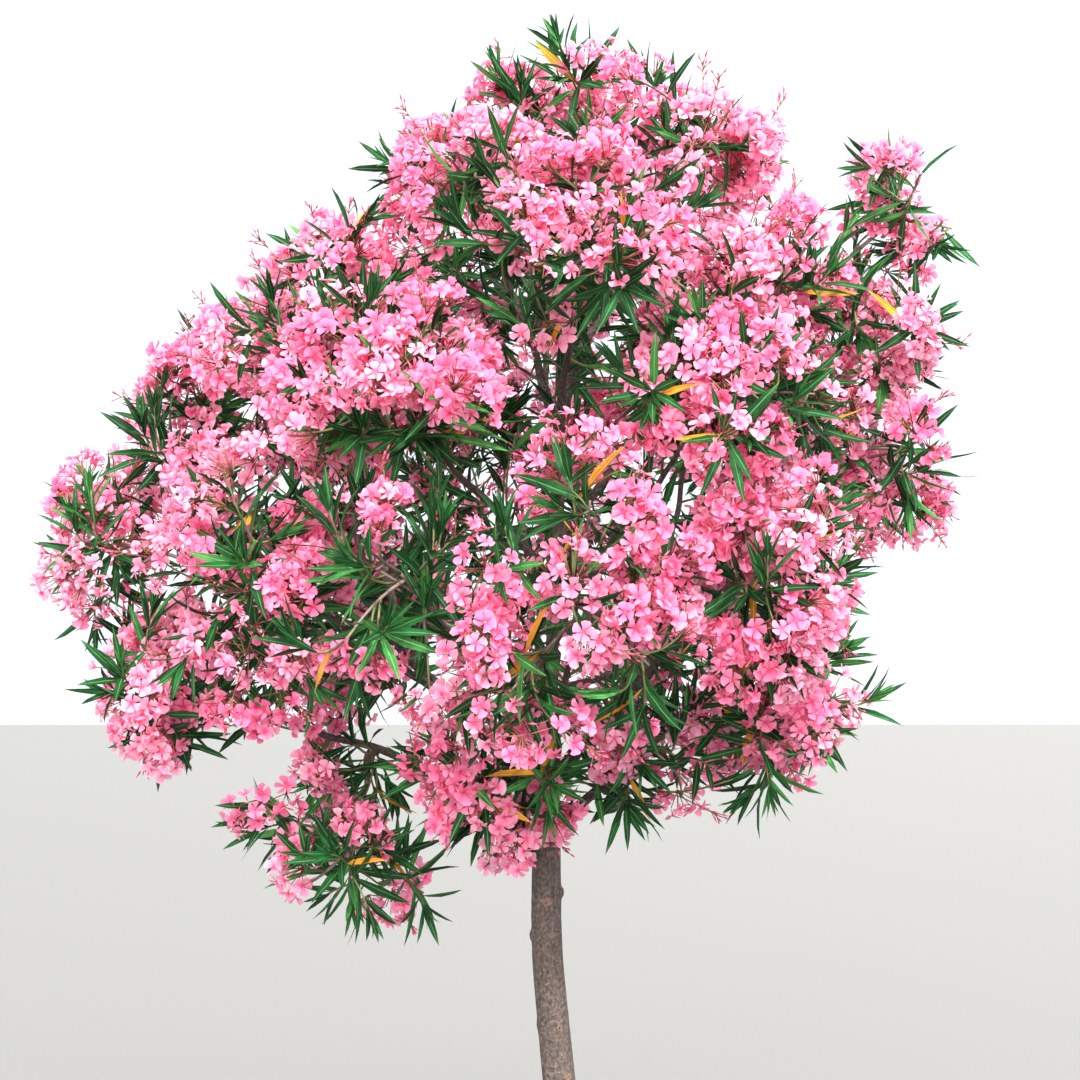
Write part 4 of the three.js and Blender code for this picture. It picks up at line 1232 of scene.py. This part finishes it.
feet = np.concatenate([bud_foot, tuft_foot])
lines = np.concatenate([bud_line, tuft_line.reshape(-1, 3)])
lengths = np.concatenate([bud_length, random.uniform(*SPRAY_BUD_LENGTH, tuft).ravel()])
bud_points = feet[:, None] + lines[:, None] * (lengths[:, None] * [0, BUD_WIDEST, 1])[..., None]
rings = tube_corners(bud_points, np.broadcast_to(BUD_RADII, (len(feet), 3)), BUD_SIDES)
bud = flesh_material("bud", 0.5, 0.02, "b82f5c", "dd5a84", 0.003, 0.0004)
new_piece("buds", rings, tube_faces(len(feet), 3, BUD_SIDES), bud, MASS_NODES)

starts = [cyme_foot[owner], cyme_foot[bud_owner], head_tip[cyme_head], spray_start]
starts = np.concatenate([*starts, tuft_start.reshape(-1, 3)])
ends = np.concatenate([neck, bud_foot, cyme_foot, spray_end, tuft_foot])
lines = np.stack([starts, ends], axis=1)
rings = tube_corners(lines, np.broadcast_to(STALK_RADII, (len(ends), 2)), STALK_SIDES)
red_stalk = twig_material("red_stalk", "6e352f", "94604a")
new_piece("stalks", rings, tube_faces(len(ends), 2, STALK_SIDES), red_stalk, MASS_NODES)

# The pot: fired clay, turned on a wheel, with a rolled rim, faint rings left by the fingers, and lime
# that the damp has drawn out, most of it low on the wall. Four drain holes go through its foot.
POT_HEIGHT = 0.5
POT_TOP_RADIUS = 0.31
POT_FOOT_RADIUS = 0.205
POT_WALL = 0.022
RIM_HEIGHT = 0.062
RIM_OUT = 0.014
RIM_TAPER = 0.004
RIM_EDGE = 0.008
POT_FLOOR = 0.028
POT_SIDES = 128
CORNER_RADIUS = 0.006
CORNER_STEPS = 5
PROFILE_SPACING = 0.0065
DRAINS = 4
DRAIN_RADIUS = 0.011
DRAIN_CIRCLE = 0.11
DRAIN_SIDES = 24
DRILL_ENDS = (-0.02, 0.06)


def wall_radius(height):
    """The pot's outer radius below its rim, which grows evenly from its foot to its top."""
    return blend(POT_FOOT_RADIUS, POT_TOP_RADIUS - RIM_OUT, height / POT_HEIGHT)


def rounded(profile, radius, steps):
    """A profile whose inner corners are replaced by arcs: points on a quadratic curve that starts and
    ends the given distance before and after the corner, or less on a short side."""
    profile = np.array(profile, dtype=float)
    points = [profile[:1]]
    for before, corner, after in zip(profile, profile[1:], profile[2:]):
        cut = min(radius, 0.45 * np.linalg.norm(before - corner), 0.45 * np.linalg.norm(after - corner))
        controls = (corner + unit(before - corner) * cut, corner, corner + unit(after - corner) * cut)
        points.append(bezier(controls, steps))
    return np.concatenate([*points, profile[-1:]])


def finer(profile, spacing):
    """A profile with points added so that none are further apart than the spacing."""
    parts = [profile[:1]]
    for first, second in zip(profile, profile[1:]):
        steps = max(1, math.ceil(np.linalg.norm(second - first) / spacing))
        parts.append(blend(first, second, np.linspace(0, 1, steps + 1)[1:, None]))
    return np.concatenate(parts)


def turned_body(profile, sides, relief):
    """A body turned from a profile of radius and height, whose first and last points lie on the axis.
    Relief is added to the radius of each corner, by its angle and its height."""
    angle = circle(sides)
    height = profile[1:-1, 1:]
    radius = profile[1:-1, :1] + relief(angle, height)
    rings = [radius * np.cos(angle), radius * np.sin(angle), np.broadcast_to(height, radius.shape)]
    rings = np.stack(rings, axis=-1).reshape(-1, 3)
    corners = np.concatenate([rings, [(0, 0, profile[0, 1]), (0, 0, profile[-1, 1])]])
    count = len(profile) - 2
    side = np.arange(sides)
    beside = (side + 1) % sides
    last = (count - 1) * sides
    low = np.stack([beside, side, np.full(sides, len(rings))], axis=1)
    high = np.stack([last + side, last + beside, np.full(sides, len(rings) + 1)], axis=1)
    return corners, [tube_faces(1, count, sides)[0], low, high]


def throwing(angle, height):
    """Rings left by the wheel, that wander a little round the pot, plus a slow unevenness. Both fade out
    towards the flat foot."""
    rings = 0.00045 * np.sin(height * 2 * np.pi / 0.013 + 1.5 * np.sin(angle) + 0.6 * np.sin(3 * angle))
    slow = 0.0009 * np.sin(2 * angle + height * 9) + 0.0006 * np.sin(5 * angle - height * 14)
    return (rings + slow) * np.clip(height / 0.03, 0, 1)


def clay_material(dark, middle, light, gritty, limed, rubbed, darker_foot):
    """Fired clay: patches of three tones, grit, lime that runs down and grows towards the foot, a rim
    rubbed pale, and a wall that grows darker towards the foot."""
    material, tree, shader = new_material("terracotta", Roughness=0.88)
    place = object_place(tree)
    height = node(tree, "ShaderNodeSeparateXYZ", {"Vector": place}).outputs["Z"]
    patches = noise(tree, place, 0.16, 5.0)
    grit = noise(tree, place, 0.0025, 3.0)
    runs = noise(tree, mapped(tree, place, (1, 1, 0.45)), 0.045, 6.0)
    low = ranged(tree, height, 0.02, 0.3, 0.75, 0.12)
    lime = maths(tree, "MULTIPLY", ranged(tree, runs, 0.48, 0.72), low)
    rim = ranged(tree, height, 0.488, 0.5, 0.0, 0.5)
    wear = maths(tree, "MULTIPLY", rim, ranged(tree, patches, 0.35, 0.6))
    colour = ramp(tree, patches, (0.32, dark), (0.5, middle), (0.7, light))
    colour = mixed(tree, ranged(tree, grit, 0.5, 0.75, 0.0, 0.3), colour, gritty)
    colour = mixed(tree, lime, colour, limed)
    colour = mixed(tree, wear, colour, rubbed)
    # Darker towards the foot: over the lowest five centimetres the colour blends up to halfway towards a
    # darker brown.
    colour = mixed(tree, ranged(tree, height, 0.0, 0.05, 0.5, 0.0), colour, darker_foot)
    tree.links.new(ranged(tree, lime, 0.0, 0.7, 0.82, 0.97), shader.inputs["Roughness"])
    bands = noise(tree, mapped(tree, place, (1, 1, 6)), 0.05)
    surfaced(tree, shader, colour, (grit, 0.0006), (bands, 0.0012), (runs, 0.0008))
    return material


rim_foot = POT_HEIGHT - RIM_HEIGHT
pot_profile = [
    (0, 0),
    (POT_FOOT_RADIUS, 0),
    (wall_radius(rim_foot), rim_foot),
    (POT_TOP_RADIUS - RIM_TAPER, rim_foot + RIM_EDGE),
    (POT_TOP_RADIUS, POT_HEIGHT),
    (wall_radius(POT_HEIGHT) - POT_WALL, POT_HEIGHT),
    (wall_radius(POT_FLOOR) - POT_WALL, POT_FLOOR),
    (0, POT_FLOOR),
]
clay = clay_material("743b23", "8d4e31", "a26445", "8a4526", "d9c3ac", "dba27c", "6b4430")
profile = finer(rounded(pot_profile, CORNER_RADIUS, CORNER_STEPS), PROFILE_SPACING)
corners, faces = turned_body(profile, POT_SIDES, throwing)
pot = new_piece("turned_pot", corners, faces, clay, ["pot"])

angle = (np.arange(DRAINS) + 0.5) * 2 * np.pi / DRAINS
drill_lines = np.empty((DRAINS, 2, 3))
drill_lines[..., 0] = DRAIN_CIRCLE * np.cos(angle)[:, None]
drill_lines[..., 1] = DRAIN_CIRCLE * np.sin(angle)[:, None]
drill_lines[..., 2] = DRILL_ENDS
drill_rings = tube_corners(drill_lines, np.full((DRAINS, 2), DRAIN_RADIUS), DRAIN_SIDES)
drill_faces = [row for rows in tube_faces(DRAINS, 2, DRAIN_SIDES) for row in rows.tolist()]
drill = bpy.data.objects.new("drill", bpy.data.meshes.new("drill"))
drill.data.from_pydata(drill_rings.reshape(-1, 3).tolist(), [], drill_faces)
bpy.context.scene.collection.objects.link(drill)
cut = pot.modifiers.new("drains", "BOOLEAN")
cut.object = drill
cut.operation = "DIFFERENCE"
cut.solver = "EXACT"
drilled = bpy.data.meshes.new_from_object(pot.evaluated_get(bpy.context.evaluated_depsgraph_get()))
pot.modifiers.clear()
pot.data = drilled
bpy.data.objects.remove(drill)

# The soil: dark potting soil, loose and crumbly on top and a little higher round the stem, with pale grit
# in it. It fills the pot from its floor, a hair inside the wall.
SOIL_GAP = 0.0003
SOIL_RADIUS = wall_radius(SOIL_TOP / 1000) - POT_WALL - SOIL_GAP
SOIL_FOOT = POT_FLOOR + SOIL_GAP
SOIL_FOOT_RADIUS = wall_radius(SOIL_FOOT) - POT_WALL - SOIL_GAP
SOIL_RINGS = 70
SOIL_SIDES = 150
INNERMOST_RADIUS = 0.002
SOIL_SETTLED = 0.003
LEVEL_EDGE = 0.02
MOUND_HEIGHT = 0.006
MOUND_RADIUS = 0.1
CRUMB_SIZES = (0.16, 0.008)
CRUMB_WAVES = 34
CRUMB_HEIGHT = 0.012


def crumbs(x, y, seed):
    """Height of crumbly ground: many cosine waves in all directions, the shorter the lower, and folded up
    at the bottom so that the lumps stand out."""
    random = np.random.default_rng(seed)
    height = np.zeros_like(x)
    for length in np.geomspace(*CRUMB_SIZES, CRUMB_WAVES):
        turn, phase = random.uniform(0, 2 * np.pi, 2)
        height += length**0.8 * np.cos((x * np.cos(turn) + y * np.sin(turn)) * 2 * np.pi / length + phase)
    return np.abs(height) * CRUMB_HEIGHT


def soil_material(dark, middle, light, grit):
    """Loose soil: three dark tones, crumbs, and a pale grain here and there."""
    material, tree, shader = new_material("soil", Roughness=0.95)
    place = object_place(tree)
    grains = node(tree, "ShaderNodeTexVoronoi", {"Vector": place, "Scale": 160.0})
    pale = node(tree, "ShaderNodeSeparateColor", {"Color": grains.outputs["Color"]}).outputs["Red"]
    colour = ramp(tree, noise(tree, place, 0.012, 6.0), (0.35, dark), (0.52, middle), (0.7, light))
    colour = mixed(tree, ranged(tree, pale, 0.93, 0.96, 0.0, 0.6), colour, grit)
    layers = [(noise(tree, place, 0.004, 6.0), 0.003), (grains.outputs["Distance"], 0.002)]
    surfaced(tree, shader, colour, *layers)
    return material


angle = circle(SOIL_SIDES)
radius = np.linspace(SOIL_RADIUS, INNERMOST_RADIUS, SOIL_RINGS)[:, None]
x, y = radius * np.cos(angle), radius * np.sin(angle)
edge = np.clip((SOIL_RADIUS - radius) / LEVEL_EDGE, 0, 1)
mound = MOUND_HEIGHT * np.exp(-((radius / MOUND_RADIUS) ** 2))
height = SOIL_TOP / 1000 - SOIL_SETTLED + edge * (crumbs(x, y, 3) + mound)
foot = [SOIL_FOOT_RADIUS * np.cos(angle), SOIL_FOOT_RADIUS * np.sin(angle), np.full(SOIL_SIDES, SOIL_FOOT)]
rings = np.concatenate([np.stack(foot, axis=-1)[None], np.stack([x, y, height], axis=-1)])
soil = soil_material("1a130e", "2e2219", "48382b", "9a8468")
new_piece("soil_bed", rings, tube_faces(1, SOIL_RINGS + 1, SOIL_SIDES), soil, ["soil"])
